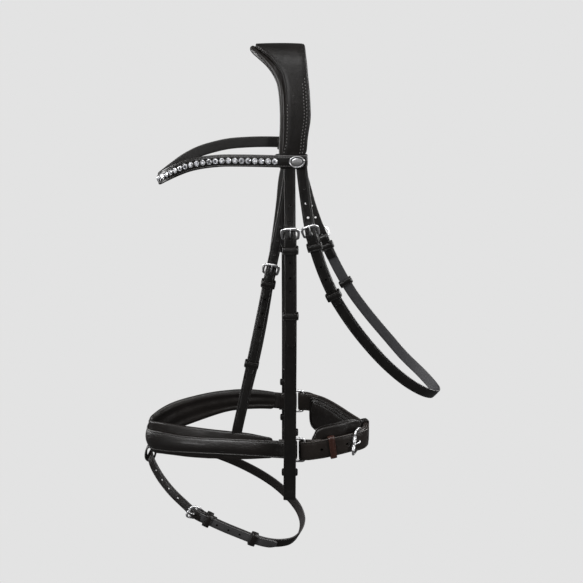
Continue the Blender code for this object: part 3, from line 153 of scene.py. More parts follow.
class Shader:
    """Node tree of one Principled material; textures use object coordinates."""

    def __init__(self, name):
        self.material = bpy.data.materials.new(name)
        self.material.use_nodes = True
        self.tree = self.material.node_tree
        self.tree.nodes.clear()
        output = self.tree.nodes.new("ShaderNodeOutputMaterial")
        self.principled = self.tree.nodes.new("ShaderNodeBsdfPrincipled")
        self.tree.links.new(self.principled.outputs[0], output.inputs["Surface"])
        self.coord = self.tree.nodes.new("ShaderNodeTexCoord").outputs["Object"]

    def put(self, socket, value):
        if isinstance(value, bpy.types.NodeSocket):
            self.tree.links.new(value, socket)
        else:
            socket.default_value = value

    def add(self, kind, **values):
        """A node; capitalised names are its sockets, others its properties."""
        node = self.tree.nodes.new(kind)
        for key, value in values.items():
            if key[0].isupper():
                self.put(node.inputs[key], value)
            else:
                setattr(node, key, value)
        return node

    def set(self, **values):
        for key, value in values.items():
            self.put(self.principled.inputs[key.replace("_", " ")], value)

    def noise(self, scale, detail=4.0, rough=0.55, stretch=None):
        vector = self.coord
        if stretch:
            vector = self.add("ShaderNodeMapping", Vector=vector, Scale=stretch).outputs[0]
        node = self.add("ShaderNodeTexNoise", Vector=vector, Scale=scale, Detail=detail,
                        Roughness=rough)
        return node.outputs["Fac"]

    def ramp(self, fac, *stops):
        node = self.tree.nodes.new("ShaderNodeValToRGB")
        elements = node.color_ramp.elements
        for element, (place, colour) in zip(elements, (stops[0], stops[-1])):
            element.position = place
            element.color = (*colour, 1.0)
        for place, colour in stops[1:-1]:
            elements.new(place).color = (*colour, 1.0)
        self.put(node.inputs[0], fac)
        return node.outputs[0]

    def fade(self, fac, black, white):
        """From 0 at `black` to 1 at `white`."""
        return self.ramp(fac, (black, (0, 0, 0)), (white, (1, 1, 1)))

    def math(self, operation, first, second, third=None):
        node = self.tree.nodes.new("ShaderNodeMath")
        node.operation = operation
        self.put(node.inputs[0], first)
        self.put(node.inputs[1], second)
        if third is not None:
            self.put(node.inputs[2], third)
        return node.outputs[0]

    def times(self, value, factor):
        return self.math("MULTIPLY", value, factor)

    def scaled(self, value, factor, base):
        return self.math("MULTIPLY_ADD", value, factor, base)

    def mix(self, fac, first, second):
        node = self.tree.nodes.new("ShaderNodeMix")
        node.data_type = "RGBA"
        self.put(node.inputs[0], fac)
        for socket, value in ((6, first), (7, second)):
            is_socket = isinstance(value, bpy.types.NodeSocket)
            self.put(node.inputs[socket], value if is_socket else (*value, 1.0))
        return node.outputs[2]

    def attribute(self, name):
        node = self.tree.nodes.new("ShaderNodeAttribute")
        node.attribute_name = name
        return node.outputs["Fac"]

    def bump(self, strength, distance, height, **below):
        """Bump over the one below it; distance in metres."""
        node = self.add("ShaderNodeBump", Strength=strength, Distance=distance, Height=height,
                        **below)
        return node.outputs[0]


def leather(name, top, flesh, edge, rough=0.33, grain=1.0, coat=0.30, cell=1400.0, shine=0.5):
    """Pebbled grain, slow colour drift, painted highlight on the rounded cut edges, dark creases,
    plain flesh side.
    """
    shader = Shader(name)
    drift = shader.noise(scale=26.0, detail=5.0, rough=0.6)
    scuff = shader.noise(scale=210.0, detail=6.0, rough=0.72)
    streak = shader.noise(scale=90.0, detail=4.0, rough=0.6, stretch=(1.0, 1.0, 0.22))

    drifted = shade(top, factor=1.6, lift=0.0006)
    tint = shader.mix(shader.fade(drift, black=0.35, white=0.68), top, drifted)
    scuffed = shade(top, factor=2.2, lift=0.0016)
    scuff_mask = shader.times(shader.fade(scuff, black=0.52, white=0.75), factor=0.3)
    tint = shader.mix(scuff_mask, tint, scuffed)
    flesh_side = shader.attribute("flesh")
    fuzz = shader.noise(scale=900.0, detail=5.0, rough=0.7)
    under = shader.mix(fuzz, shade(flesh, factor=0.7), shade(flesh, factor=1.5))
    tint = shader.mix(flesh_side, tint, under)
    # Painted highlight: the rounded edges take the lighter edge colour, in streaks, where they
    # would catch the light.
    rim = shader.attribute("rim")
    rim_highlight = shader.times(rim, shader.scaled(streak, factor=0.9, base=0.25))
    tint = shader.mix(rim_highlight, tint, edge)
    crease = shader.attribute("crease")
    tint = shader.mix(shader.times(crease, factor=0.75), tint, shade(top, factor=0.35))
    shader.set(Base_Color=tint)

    gloss = shader.scaled(scuff, factor=0.26, base=rough - 0.13)
    gloss = shader.math("ADD", gloss, shader.times(flesh_side, factor=0.26))
    centred_streak = shader.math("SUBTRACT", streak, 0.5)
    gloss = shader.math("ADD", gloss, shader.times(centred_streak, factor=0.16))
    shader.set(Roughness=gloss)
    grain_side = shader.math("SUBTRACT", 1.0, flesh_side)
    shader.set(Specular_IOR_Level=shine, Coat_Weight=shader.times(grain_side, coat),
               Coat_Roughness=0.16)

    cells = shader.add("ShaderNodeTexVoronoi", Vector=shader.coord, Scale=cell,
                       feature="DISTANCE_TO_EDGE").outputs["Distance"]
    pebble = shader.fade(cells, black=0.0, white=0.22)
    wave = shader.noise(scale=330.0, detail=5.0, rough=0.6)
    wrinkle = shader.noise(scale=70.0, detail=4.0, rough=0.5, stretch=(1.0, 1.0, 1.7))
    bump = shader.bump(strength=0.34 * grain, distance=0.00016, height=pebble)
    bump = shader.bump(strength=0.35 * grain, distance=0.0004, height=wave, Normal=bump)
    bump = shader.bump(strength=0.22, distance=0.0016, height=wrinkle, Normal=bump)
    shader.set(Normal=bump)
    return shader.material


def metal(name, colour, rough, scratch=0.5):
    """Polished plated metal with fine lines and slow dulling."""
    shader = Shader(name)
    wipe = shader.noise(scale=120.0, detail=4.0, rough=0.6)
    lines = shader.noise(scale=1600.0, detail=3.0, rough=0.6, stretch=(1.0, 1.0, 0.08))
    dulling = shader.fade(wipe, black=0.3, white=0.8)
    shader.set(Base_Color=shader.mix(dulling, shade(colour, factor=0.86), colour), Metallic=1.0)
    gloss = shader.scaled(wipe, factor=0.14, base=rough - 0.05)
    shader.set(Roughness=shader.math("ADD", gloss, shader.times(lines, factor=0.08)))
    bump = shader.bump(strength=0.10 * scratch, distance=0.0001, height=lines)
    dents = shader.noise(scale=300.0)
    shader.set(Normal=shader.bump(strength=0.12, distance=0.0006, height=dents, Normal=bump))
    return shader.material


def thread(name, colour):
    shader = Shader(name)
    twist = shader.noise(scale=2600.0, detail=3.0, rough=0.6)
    tint = shader.mix(twist, shade(colour, factor=0.55), shade(colour, factor=1.5))
    shader.set(Base_Color=tint, Roughness=0.55, Sheen_Weight=0.3, Sheen_Roughness=0.4)
    shader.set(Normal=shader.bump(strength=0.5, distance=0.0001, height=twist))
    return shader.material


def stone(name):
    """Cut crystal: the "facet" attribute tints each facet lighter or darker as painted sparkle and
    makes some of them mirrors.
    """
    shader = Shader(name)
    facet = shader.attribute("facet")
    tint = shader.ramp(facet, (0.0, (0.72, 0.73, 0.78)), (0.22, (0.95, 0.96, 1.0)),
                       (0.55, (1.0, 1.0, 1.0)), (0.8, (0.90, 0.92, 1.0)), (1.0, (1.0, 1.0, 1.0)))
    mirror = shader.ramp(facet, (0.52, (0.05, 0.05, 0.05)), (0.56, (0.95, 0.95, 0.95)))
    gloss = shader.scaled(shader.noise(scale=900.0), factor=0.05, base=0.03)
    shader.set(Base_Color=tint, Metallic=mirror, Roughness=gloss, Coat_Weight=1.0,
               Coat_Roughness=0.02, IOR=1.6)
    return shader.material


# In these leathers, edge is the colour of the painted highlight along the rounded cut edges.
BLACK = leather("black_bridle_leather", top=(0.0040, 0.0034, 0.0031),
                flesh=(0.0062, 0.0052, 0.0048), edge=(0.024, 0.021, 0.020))
JAWS = leather("brown_black_jaw_leather", top=(0.0120, 0.0092, 0.0078),
               flesh=(0.0110, 0.0084, 0.0070), edge=(0.040, 0.032, 0.028), rough=0.36, coat=0.2)
PANEL = leather("black_panel_leather", top=(0.0054, 0.0041, 0.0036), flesh=(0.010, 0.008, 0.007),
                edge=(0.022, 0.019, 0.018), rough=0.37, grain=1.15, coat=0.22, cell=1100.0)
SOFT = leather("soft_padding_leather", top=(0.0062, 0.0048, 0.0041), flesh=(0.011, 0.009, 0.008),
               edge=(0.016, 0.014, 0.013), rough=0.42, grain=0.9, coat=0.08, cell=900.0,
               shine=0.42)
# The throatlash's flesh colour is far lighter than on the other straps: partly its flesh side,
# partly a painted sheen of light on its inner face.
LASH = leather("black_throatlash_leather", top=(0.0042, 0.0036, 0.0033),
               flesh=(0.040, 0.040, 0.043), edge=(0.030, 0.028, 0.028))
COVER = leather("black_headpiece_leather", top=(0.0044, 0.0036, 0.0032),
                flesh=(0.010, 0.008, 0.007), edge=(0.030, 0.027, 0.026), rough=0.43, grain=1.15,
                coat=0.03, cell=1100.0, shine=0.22)
FLASH_DARK = leather("fine_black_strap_leather", top=(0.0050, 0.0038, 0.0034),
                     flesh=(0.0075, 0.0055, 0.0049), edge=(0.050, 0.047, 0.046), rough=0.40,
                     grain=0.35, coat=0.12, shine=0.4)
# Painted light: a lighter copy of the strap leather for the rear part of the flash strap's billet.
FLASH_PAINTED_LIGHT = leather("black_strap_painted_light", top=(0.034, 0.033, 0.034),
                        flesh=(0.036, 0.035, 0.035), edge=(0.060, 0.058, 0.058), rough=0.42,
                        grain=0.5, coat=0.15)
BROWN = leather("dark_brown_keeper_leather", top=(0.034, 0.0115, 0.0075),
                flesh=(0.050, 0.024, 0.014), edge=(0.090, 0.040, 0.026), rough=0.38)
STEEL = metal("polished_steel", colour=(0.94, 0.94, 0.95), rough=0.33)
SATIN = metal("satin_silver", colour=(0.80, 0.80, 0.81), rough=0.34, scratch=1.0)
DARKSTEEL = metal("shaded_silver", colour=(0.30, 0.30, 0.31), rough=0.35, scratch=1.0)
CRYSTAL = stone("cut_crystal")
THREAD = thread("grey_black_thread", colour=(0.075, 0.071, 0.069))
THREAD_LIGHT = thread("grey_thread", colour=(0.125, 0.12, 0.118))


# ---------------------------------------------------------------- lines and rails
def cubic(frac, gap, start, end, slope_start, slope_end):
    """Hermite cubic between two values `gap` apart."""
    return ((2 * frac**3 - 3 * frac**2 + 1) * start
            + (frac**3 - 2 * frac**2 + frac) * gap * slope_start
            + (-2 * frac**3 + 3 * frac**2) * end
            + (frac**3 - frac**2) * gap * slope_end)


def table(rows, where):
    """Value at `where` of a smooth line through (where, value) rows, without overshoot."""
    if where <= rows[0][0]:
        return rows[0][1]
    if where >= rows[-1][0]:
        return rows[-1][1]
    index = 0
    while rows[index + 1][0] < where:
        index += 1

    def gap(i):
        return rows[i + 1][0] - rows[i][0]

    def chord(i):
        return (rows[i + 1][1] - rows[i][1]) / gap(i)

    def slope(i):
        if i == 0:
            return chord(0)
        if i == len(rows) - 1 or chord(i - 1) * chord(i) <= 0:
            return 0.0
        before, after = gap(i - 1), gap(i)
        weighted = (2 * after + before) / chord(i - 1) + (after + 2 * before) / chord(i)
        return (before + after) * 3 / weighted

    frac = (where - rows[index][0]) / gap(index)
    return cubic(frac, gap(index), rows[index][1], rows[index + 1][1], slope(index),
                 slope(index + 1))


def smooth_line(points, closed):
    """Dense line through points whose first three columns are x, y, z."""
    points = [np.array(point, float) for point in points]
    count = len(points)
    spans = count if closed else count - 1
    ends = [(points[i], points[(i + 1) % count]) for i in range(spans)]
    gaps = [max(1e-6, math.dist(start[:3], end[:3])) for start, end in ends]
    chords = [(end - start) / gap for (start, end), gap in zip(ends, gaps)]
    slopes = []
    for i in range(count):
        if closed or 0 < i < count - 1:
            before, after = (i - 1) % spans, i % spans
            slopes.append((chords[after] * gaps[before] + chords[before] * gaps[after])
                          / (gaps[before] + gaps[after]))
        else:
            slopes.append(chords[0 if i == 0 else -1])
    line = []
    for i, (start, end) in enumerate(ends):
        parts = max(6, int(gaps[i] / 1.5))
        for j in range(parts):
            line.append(cubic(j / parts, gaps[i], start, end, slopes[i],
                              slopes[(i + 1) % count]))
    line.append(points[0 if closed else -1])
    return line


class Rail:
    """A 3-D line through points x, y, z and the strap's direction across, as x, y, z."""

    def __init__(self, points, closed=False):
        line = smooth_line(points, closed)
        self.closed = closed
        self.points = [Vector(row[:3]) for row in line]
        self.across = [Vector(row[3:6]) for row in line]
        self.stops = [0.0]
        for here, after in zip(self.points, self.points[1:]):
            self.stops.append(self.stops[-1] + (after - here).length)
        self.length = self.stops[-1]

    def tangent(self, index):
        last = len(self.points) - 1
        if self.closed:
            before, after = (index - 1) % last, (index + 1) % last
        else:
            before, after = max(index - 1, 0), min(index + 1, last)
        return (self.points[after] - self.points[before]).normalized()

    def at(self, pos):
        """(point, along, across, out) at arc length pos; an open rail runs straight on."""
        if self.closed:
            pos = pos % self.length
        inside = min(max(pos, 0.0), self.length)
        low = min(max(bisect_right(self.stops, inside) - 1, 0), len(self.stops) - 2)
        frac = (inside - self.stops[low]) / max(1e-9, self.stops[low + 1] - self.stops[low])
        point = self.points[low].lerp(self.points[low + 1], frac)
        along = self.tangent(low).lerp(self.tangent(low + 1), frac).normalized()
        across = self.across[low].lerp(self.across[low + 1], frac)
        across = (across - along * across.dot(along)).normalized()
        return point + along * (pos - inside), along, across, along.cross(across)

    def where(self, axis, value, start=0.0):
        """First arc length after start at which a coordinate passes value."""
        sides = [(pos, point[axis] >= value) for point, pos in zip(self.points, self.stops)
                 if pos >= start]
        return next(pos for (_, before), (pos, side) in zip(sides, sides[1:]) if side != before)

    def reverse(self):
        """The same line run the other way, still with out pointing out."""
        other = copy.copy(self)
        other.points = self.points[::-1]
        other.across = [-across for across in self.across[::-1]]
        other.stops = [self.length - pos for pos in self.stops[::-1]]
        return other


def with_across(points, across):
    return [(*point, *across) for point in points]


# ---------------------------------------------------------------- rows of a strap: (pos, level)
def steps(rail, first, last, turn=9.0, longest=70.0):
    """Positions from first to last, close together only where the rail bends or twists."""
    span = last - first
    found = [first]
    kept = rail.at(first)
    parts = max(2, int(span / 2.0))
    for i in range(1, parts):
        pos = first + span * i / parts
        now = rail.at(pos)
        bend = math.degrees(max(kept[1].angle(now[1]), kept[2].angle(now[2])))
        if bend > turn or pos - found[-1] > longest:
            found.append(pos)
            kept = now
    if last - found[-1] < 1.5 and len(found) > 1:
        found.pop()
    return found + [last]


def lay(rail, knots, turn=9.0, longest=70.0):
    """Rows through the knots, with extra rows where the rail bends."""
    rows = [knots[0]]
    for (start, low), (end, high) in zip(knots, knots[1:]):
        for pos in steps(rail, start, end, turn, longest)[1:]:
            rows.append((pos, low + (high - low) * ((pos - start) / (end - start))))
    return rows


def fold(bar, direction=1.0, radius=FOLD_RADIUS):
    """Rows round a bar, from the inner side to the outer; direction 1 opens to larger pos."""
    angles = [math.pi * i / 6 for i in range(7)]
    return [(bar - direction * radius * math.sin(angle), -radius * math.cos(angle))
            for angle in angles]


def chape(bar, back_to):
    """A strap's buckle end: inner layer from back_to, fold round the pivot bar, outer layer."""
    inner = [(back_to, -LAYER / 2), (14, -LAYER / 2), (7, -1.75), (3.2, -2.6)]
    outer = [(3.2, 2.6), (7, 1.75), (14, LAYER / 2)]
    return ([(bar + ahead, level) for ahead, level in inner] + fold(bar)
            + [(bar + ahead, level) for ahead, level in outer])


# A billet over a buckle: (along from the pivot bar, level); it then lies on at BILLET_LEVEL.
BILLET_OVER = [(-44, 0.0), (-26, 1.4), (-13, 3.1), (-7, 4.6), (-1, 5.55), (5, 5.5), (10, 5.0),
               (15, 4.35), (20, 4.05)]
BILLET_LEVEL = 4.05


def over_buckle(bar, first):
    return [(bar + ahead, level) for ahead, level in BILLET_OVER[first:]]


def with_tip(rows, tip, length=9.0):
    """Extra rows inside the tapered tip."""
    body = [row for row in rows if row[0] < tip - length]
    level = rows[-1][1]
    return body + [(tip - length * part, level) for part in (1.0, 0.55, 0.2, 0.0)]


def tip_scale(pos, tip, length, blunt):
    """1 along a billet, down to `blunt` at its tip."""
    frac = min(1.0, max(0.0, (tip - pos) / length))
    return blunt + (1 - blunt) * math.sqrt(frac)


def taper(half, tip, length=9.0, blunt=0.45):
    """Width function (low, high) of a billet with a blunt tip."""

    def width(pos):
        now = half * tip_scale(pos, tip, length, blunt)
        return -now, now

    return width


def billet_holes(bar, offsets, radius=HOLE_RADIUS, squash=1.0):
    """Round holes at (along, level) offsets from the bar, and the long one for the prong.
    A hole is (pos, level, radius across, radius along)."""
    holes = [(bar + ahead, level, radius, radius * squash) for ahead, level in offsets]
    return holes + [(bar - 2.8, 5.1, 1.6, 3.2 * squash)]


def prong_slot(rail, bar, width=3.4, depth=13.0, level=0.0):
    """Box slot (rail, pos, size, level) through a fold where the prong's eye sits."""
    return rail, bar + 0.5, (width, 13.0, depth), level


# ---------------------------------------------------------------- what the layout asks for
SHEETS, BILLETS, KEEPERS, WIRES = {}, {}, {}, {}


def sheet(node, rail, rows, width, material=BLACK, thick=STRAP_THICK, holes=(), slots=(),
          hump=None):
    SHEETS[node] = SimpleNamespace(rail=rail, rows=rows, width=width, material=material,
                                   thick=thick, holes=holes, slots=slots, hump=hump)


def billet(node, rail, start, bar, tip, width, holes):
    """A billet that comes out of the headpiece; two rows run on up inside it."""
    over = [row for row in over_buckle(bar, 0) if row[0] > start + 2]
    rows = with_tip(lay(rail, [(start, 0.0)] + over + [(tip, BILLET_LEVEL)]), tip)
    rows = [(-9.0, 0.0), (-4.0, 0.0)] + [row for row in rows if row[0] > 4.0]
    BILLETS[node] = SimpleNamespace(rail=rail, rows=rows, width=taper(width / 2, tip),
                                    holes=holes)


def sleeve(node, rail, pos, half, low, high, length=8.0, material=BLACK, thick=KEEPER_THICK,
           corner=0.9):
    """A keeper round a strap; half is its half width, low and high its levels inside."""
    KEEPERS[node] = SimpleNamespace(rail=rail, pos=pos, half=half, low=low, high=high,
                                    length=length, material=material, thick=thick, corner=corner)


def wire(node, kind, points, radius):
    WIRES[node] = SimpleNamespace(kind=kind, points=[Vector(point) for point in points],
                                  radius=radius)


def mirrored_ring(half):
    """A closed outline from one half; the first coordinate is mirrored."""
    start, *rest = half
    return [(-start[0], start[1])] + half + [(-side, other) for side, other in rest[::-1]]


def buckle_space(rail, bar):
    """World point from (across, back, out); back runs to where the billet comes from."""
    point, along, across, out = rail.at(bar)
    return lambda side, back, level: point + across * side - along * back + out * level


EYE_DEGREES = (15, -20, -55, -90, -125, -160, -195, -230, -262)


def buckle(family, suffix, rail, bar, strap_width, far=12.2, top=6.4, flare=0.3,
           radius=BUCKLE_WIRE, ride=2.6):
    """Frame and prong on the pivot bar. The frame's far bar lies `far` back and `top` out;
    the prong rides `ride` above it."""
    space = buckle_space(rail, bar)
    half = strap_width / 2 + 0.75 + radius
    wide = half + flare
    slope = top / far
    outline = [(half - 1.6, 0), (half - 0.3, 0.9), (half, 2.6), (wide, far - 5.0),
               (wide - 0.5, far - 2.2), (wide - 2.6, far - 0.5), (wide - 5.2, far)]
    ring = [space(side, back, back * slope) for side, back in mirrored_ring(outline)]
    wire(family + "_buckle" + suffix, "buckle", ring, radius)
    eye_radius = 0.3 + radius + PRONG_RADIUS + 0.1
    eye = [(eye_radius * math.cos(math.radians(angle)), eye_radius * math.sin(math.radians(angle)))
           for angle in EYE_DEGREES]
    rise = [(1.4, 3.15), (2.9, 4.7), (4.0, 6.5), (6.0, 7.7), (far - 4.5, top + ride - 0.15),
            (far, top + ride), (far + 2.0, top + ride - 0.3)]
    prong = [space(0, back, level) for back, level in eye + rise]
    wire(family + "_prong" + suffix, "prong", prong, PRONG_RADIUS)


# ---------------------------------------------------------------- rails of the bridle
# Crown: off bottom, over the poll, near bottom; the seam between pad and cover. (y, z)
CROWN_SIDE = [(70.0, -120.6), (69.6, -105.0), (68.6, -88.0), (66.8, -72.0), (63.8, -54.0),
              (59.0, -36.0), (51.5, -19.0), (42.0, -6.0), (31.0, 2.0), (20.0, 6.2), (9.0, 7.6)]
CROWN = Rail([(0, y, z, 1, 0, 0) for y, z in CROWN_SIDE]
             + [(0, -y, z, 1, 0, 0) for y, z in CROWN_SIDE[::-1]])

# Cheeks run down: (distance from the middle plane, z), and x on each side.
CHEEK_LINE = [(72.4, -121.4), (75.5, -300.0), (79.6, -536.0)]
CHEEK_X = {"near": (0.8, 1.7, 0.2), "off": (-3.2, -3.4, -3.4)}
CHEEK = {side: Rail([(x, sign * y, z, -sign, 0, 0)
                     for x, (y, z) in zip(CHEEK_X[side], CHEEK_LINE)])
         for side, sign in SIDES.items()}

# Throatlash, near top round under the jaw to off top: x, y, z, across x, across z.
THROAT_LINE = [
    (14.2, -72.4, -121.6, 1, 0.05), (16.8, -73.2, -143.0, 1, 0.1), (19.4, -73.4, -162.0, 1, 0.15),
    (23.6, -73.4, -188.0, 0.98, 0.2), (29.2, -73.2, -209.5, 0.97, 0.25),
    (38.6, -72.0, -238.0, 0.94, 0.34), (51.6, -70.2, -268.0, 0.9, 0.42),
    (67.6, -67.4, -295.5, 0.85, 0.52), (92.4, -63.5, -330.5, 0.8, 0.6),
    (122.5, -57.5, -365.5, 0.77, 0.64), (150.0, -48.0, -391.5, 0.72, 0.7),
    (173.5, -34.0, -409.5, 0.68, 0.74), (187.0, -15.0, -419.5, 0.66, 0.75),
    (191.0, 3.0, -423.0, 0.66, 0.75), (187.0, 21.0, -421.0, 0.67, 0.74),
    (176.0, 38.0, -413.0, 0.7, 0.71), (157.0, 51.5, -397.5, 0.74, 0.67),
    (132.3, 60.0, -370.5, 0.78, 0.63), (106.3, 65.0, -340.0, 0.82, 0.58),
    (83.2, 68.0, -309.0, 0.86, 0.5), (66.6, 70.0, -281.0, 0.9, 0.43),
    (52.6, 71.5, -253.0, 0.92, 0.38), (40.4, 72.6, -225.0, 0.94, 0.33),
    (29.8, 73.4, -196.0, 0.97, 0.24), (21.2, 73.4, -166.0, 0.99, 0.15),
    (14.8, 73.2, -143.0, 1, 0.1), (10.0, 72.4, -121.6, 1, 0.05),
]
THROAT = Rail([(x, y, z, across_x, 0, across_z) for x, y, z, across_x, across_z in THROAT_LINE])
THROAT_BACK = THROAT.reverse()

# Sliphead: off noseband end, up and over the poll under the pad, near noseband end. (x, y, z)
SLIP_SIDE = [(-14.0, 0.0, 1.6), (-14.0, 12.0, 1.2), (-14.0, 22.0, -1.8), (-12.5, 31.0, -8.0),
             (-10.0, 40.0, -19.0), (-6.5, 47.5, -33.0), (-3.5, 53.0, -50.0), (-1.8, 56.0, -72.0),
             (-0.4, 57.3, -96.0), (0.2, 57.6, -122.0)]
NEAR_HANG = [(-2.8, -57.8, -147.0), (-10.4, -57.8, -190.0), (-19.8, -57.6, -234.0),
             (-32.0, -57.2, -295.0), (-45.6, -56.6, -360.0), (-58.4, -55.4, -420.0),
             (-65.8, -54.6, -454.0), (-70.8, -53.4, -484.0)]
OFF_HANG = [(-6.5, 57.8, -147.0), (-11.6, 57.8, -190.0), (-17.6, 57.6, -234.0),
            (-27.0, 57.2, -295.0), (-38.0, 56.6, -360.0), (-48.5, 56.0, -410.0),
            (-56.0, 55.2, -440.0), (-62.5, 54.0, -469.0)]
SLIP = Rail(with_across(OFF_HANG[::-1], (0.99, 0, 0.16))
            + with_across(SLIP_SIDE[::-1], (1, 0, 0))
            + [(x, -y, z, 1, 0, 0) for x, y, z in SLIP_SIDE[1:]]
            + with_across(NEAR_HANG, (0.99, 0, -0.17)))

# Noseband: off ring, round the front, near ring.
NOSE = Rail(with_across([
    (5.5, 63.8, -469.0), (-6.0, 63.7, -468.9), (-19.0, 62.6, -467.3), (-40.0, 60.4, -464.2),
    (-66.0, 57.4, -462.4), (-92.0, 53.4, -463.0), (-117.0, 48.6, -466.0), (-143.0, 41.2, -471.0),
    (-164.0, 31.2, -477.0), (-179.0, 18.8, -482.4), (-187.0, 6.6, -486.2), (-188.0, -5.0, -487.6),
    (-182.4, -15.6, -486.4), (-170.5, -26.0, -483.2), (-148.0, -38.5, -479.6),
    (-114.0, -49.5, -476.6), (-80.0, -56.0, -474.8), (-40.0, -61.0, -474.2),
    (-12.0, -63.4, -474.5), (5.5, -64.4, -474.5)], (0, 0, 1)))

# Browband: off loop, round the front, near loop.
BROW = Rail(with_across([
    (19.6, 76.4, -111.5), (8.0, 76.4, -111.5), (-14.0, 74.2, -110.4), (-32.0, 71.4, -109.8),
    (-55.0, 68.0, -110.0), (-77.0, 64.2, -111.4), (-95.0, 60.4, -114.8), (-113.0, 54.8, -119.8),
    (-130.0, 46.0, -127.6), (-143.4, 34.0, -136.0), (-152.4, 18.0, -141.6), (-155.6, 0.0, -143.2),
    (-152.4, -18.0, -141.0), (-144.0, -34.0, -135.0), (-130.0, -46.0, -127.2),
    (-113.0, -54.8, -119.8), (-95.0, -60.4, -115.4), (-77.0, -64.2, -113.0),
    (-55.0, -68.0, -112.2), (-32.0, -71.4, -112.0), (-14.0, -74.2, -112.0), (8.0, -76.4, -112.0),
    (19.6, -76.4, -112.0)], (0, 0, 1)))

# Flash strap: a closed loop from the front, down the near side, under and up the off side.
FLASH = Rail(with_across([
    (-187.0, 0.0, -513.5), (-183.6, -11.5, -519.0), (-173.6, -23.0, -532.5),
    (-161.5, -31.4, -545.5), (-148.0, -38.2, -557.6), (-134.5, -42.4, -568.4),
    (-120.5, -44.8, -579.0), (-104.0, -46.2, -588.0), (-85.0, -47.0, -597.6),
    (-65.5, -46.8, -607.0), (-46.0, -45.6, -616.6), (-29.0, -42.6, -623.8), (-12.0, -36.4, -629.2),
    (3.0, -26.5, -631.8), (13.2, -12.0, -628.8), (16.8, 3.0, -622.5), (13.2, 17.0, -615.5),
    (5.0, 28.0, -608.0), (-5.5, 36.0, -600.0), (-20.0, 42.5, -589.5), (-37.0, 47.0, -579.0),
    (-56.0, 49.8, -568.5), (-77.0, 50.5, -557.5), (-105.0, 48.6, -544.0), (-133.0, 43.0, -531.5),
    (-158.0, 31.5, -521.0), (-177.0, 15.5, -514.5)], (0.475, 0, 0.88)), closed=True)

# Jaw strap: near ring, round behind the jaw, off ring.
JAW = Rail(with_across([
    RING_NEAR, (38.0, -64.2, -474.2), (54.0, -62.0, -471.8), (68.0, -57.6, -470.0),
    (78.5, -51.4, -469.6), (86.5, -43.5, -470.8), (94.5, -33.5, -473.2), (98.3, -22.0, -475.8),
    (97.2, -9.5, -477.4), (90.8, 2.5, -477.4), (81.0, 14.0, -476.0), (70.0, 26.5, -473.8),
    (57.5, 39.5, -471.4), (45.5, 51.0, -470.0), (35.0, 58.8, -469.2), (26.0, 62.8, -469.0),
    RING_OFF], (0, 0, 1)))

# ---------------------------------------------------------------- headpiece outline
# Edges across the crown rail (front is negative) against distance up from the lower end:
# narrow over the cheek, cut back for the ear, wide at the poll.
PAD_FRONT = [(0, -11.0), (16, -11.4), (34, -11.0), (56, -10.4), (76, -11.2), (92, -13.2),
             (104, -18.0), (116, -25.6), (130, -35.6), (144, -42.6), (156, -44.6), (180, -44.8)]
PAD_REAR = [(0, 16.6), (14.5, 16.6), (18, 19.4), (34, 21.0), (58, 24.2), (80, 23.2), (110, 20.6),
            (150, 18.6), (180, 18.4)]
COVER_FRONT = [(0, -7.4), (14, -8.4), (30, -5.0), (52, -4.2), (76, -4.2), (92, -5.6),
               (104, -9.0), (116, -16.0), (130, -26.0), (144, -34.6), (156, -38.0), (180, -38.4)]
COVER_REAR = [(0, 16.4), (14.5, 16.4), (18, 18.6), (34, 20.4), (58, 23.2), (80, 22.2),
              (110, 19.6), (150, 17.6), (180, 17.4)]
CROWN_START = 0.6
CROWN_END = CROWN.length - CROWN_START


def crown_edge(edge, pos):
    """Edge table read at the distance from the nearer lower end."""
    return table(edge, min(pos, CROWN.length - pos))


def cover_width(pos):
    return crown_edge(COVER_FRONT, pos), crown_edge(COVER_REAR, pos)


# ---------------------------------------------------------------- layout: browband loops
for side, sign in SIDES.items():
    line = Rail([(2.6, sign * 68.2, z, -sign, 0, 0) for z in (-105.0, -119.0)])
    sleeve("browband_loop_" + side, line, 7.0, half=16.2, low=-6.4, high=5.9, length=12.6,
           thick=1.6, corner=2.4)

# ---------------------------------------------------------------- layout: cheekpieces
CHEEK_BAR = 78.6  # pivot bar, below the top of the billet
CHEEK_TIP = 209.0
CHEEK_RUNNER = {"near": 170.5, "off": 131.0}
CHEEK_HOLES = [(-21.0, 2.0), (-38.4, 0.5), (27.0, BILLET_LEVEL), (45.0, BILLET_LEVEL),
               (61.5, BILLET_LEVEL)]
STUD_BACK = 72  # hook stud, up from the rail's end
# The lower end turned inwards and back up: (along from the rail's end, level)
BIT_FOLD = [(-26, LAYER / 2), (-16, 1.6), (-9.5, 2.6), (-4.2, 2.9), (-0.6, 0.6), (0.4, -3.4),
            (-1.6, -7.6), (-6.5, -9.6), (-13, -8.8), (-21, -5.6), (-28, -3.9), (-32, -3.7),
            (-112, -3.7)]


def cheek_width(pos):
    half = (CHEEK_WIDTH + 1.0 * min(1.0, max(0.0, (pos - 250.0) / 120.0))) / 2
    return -half, half


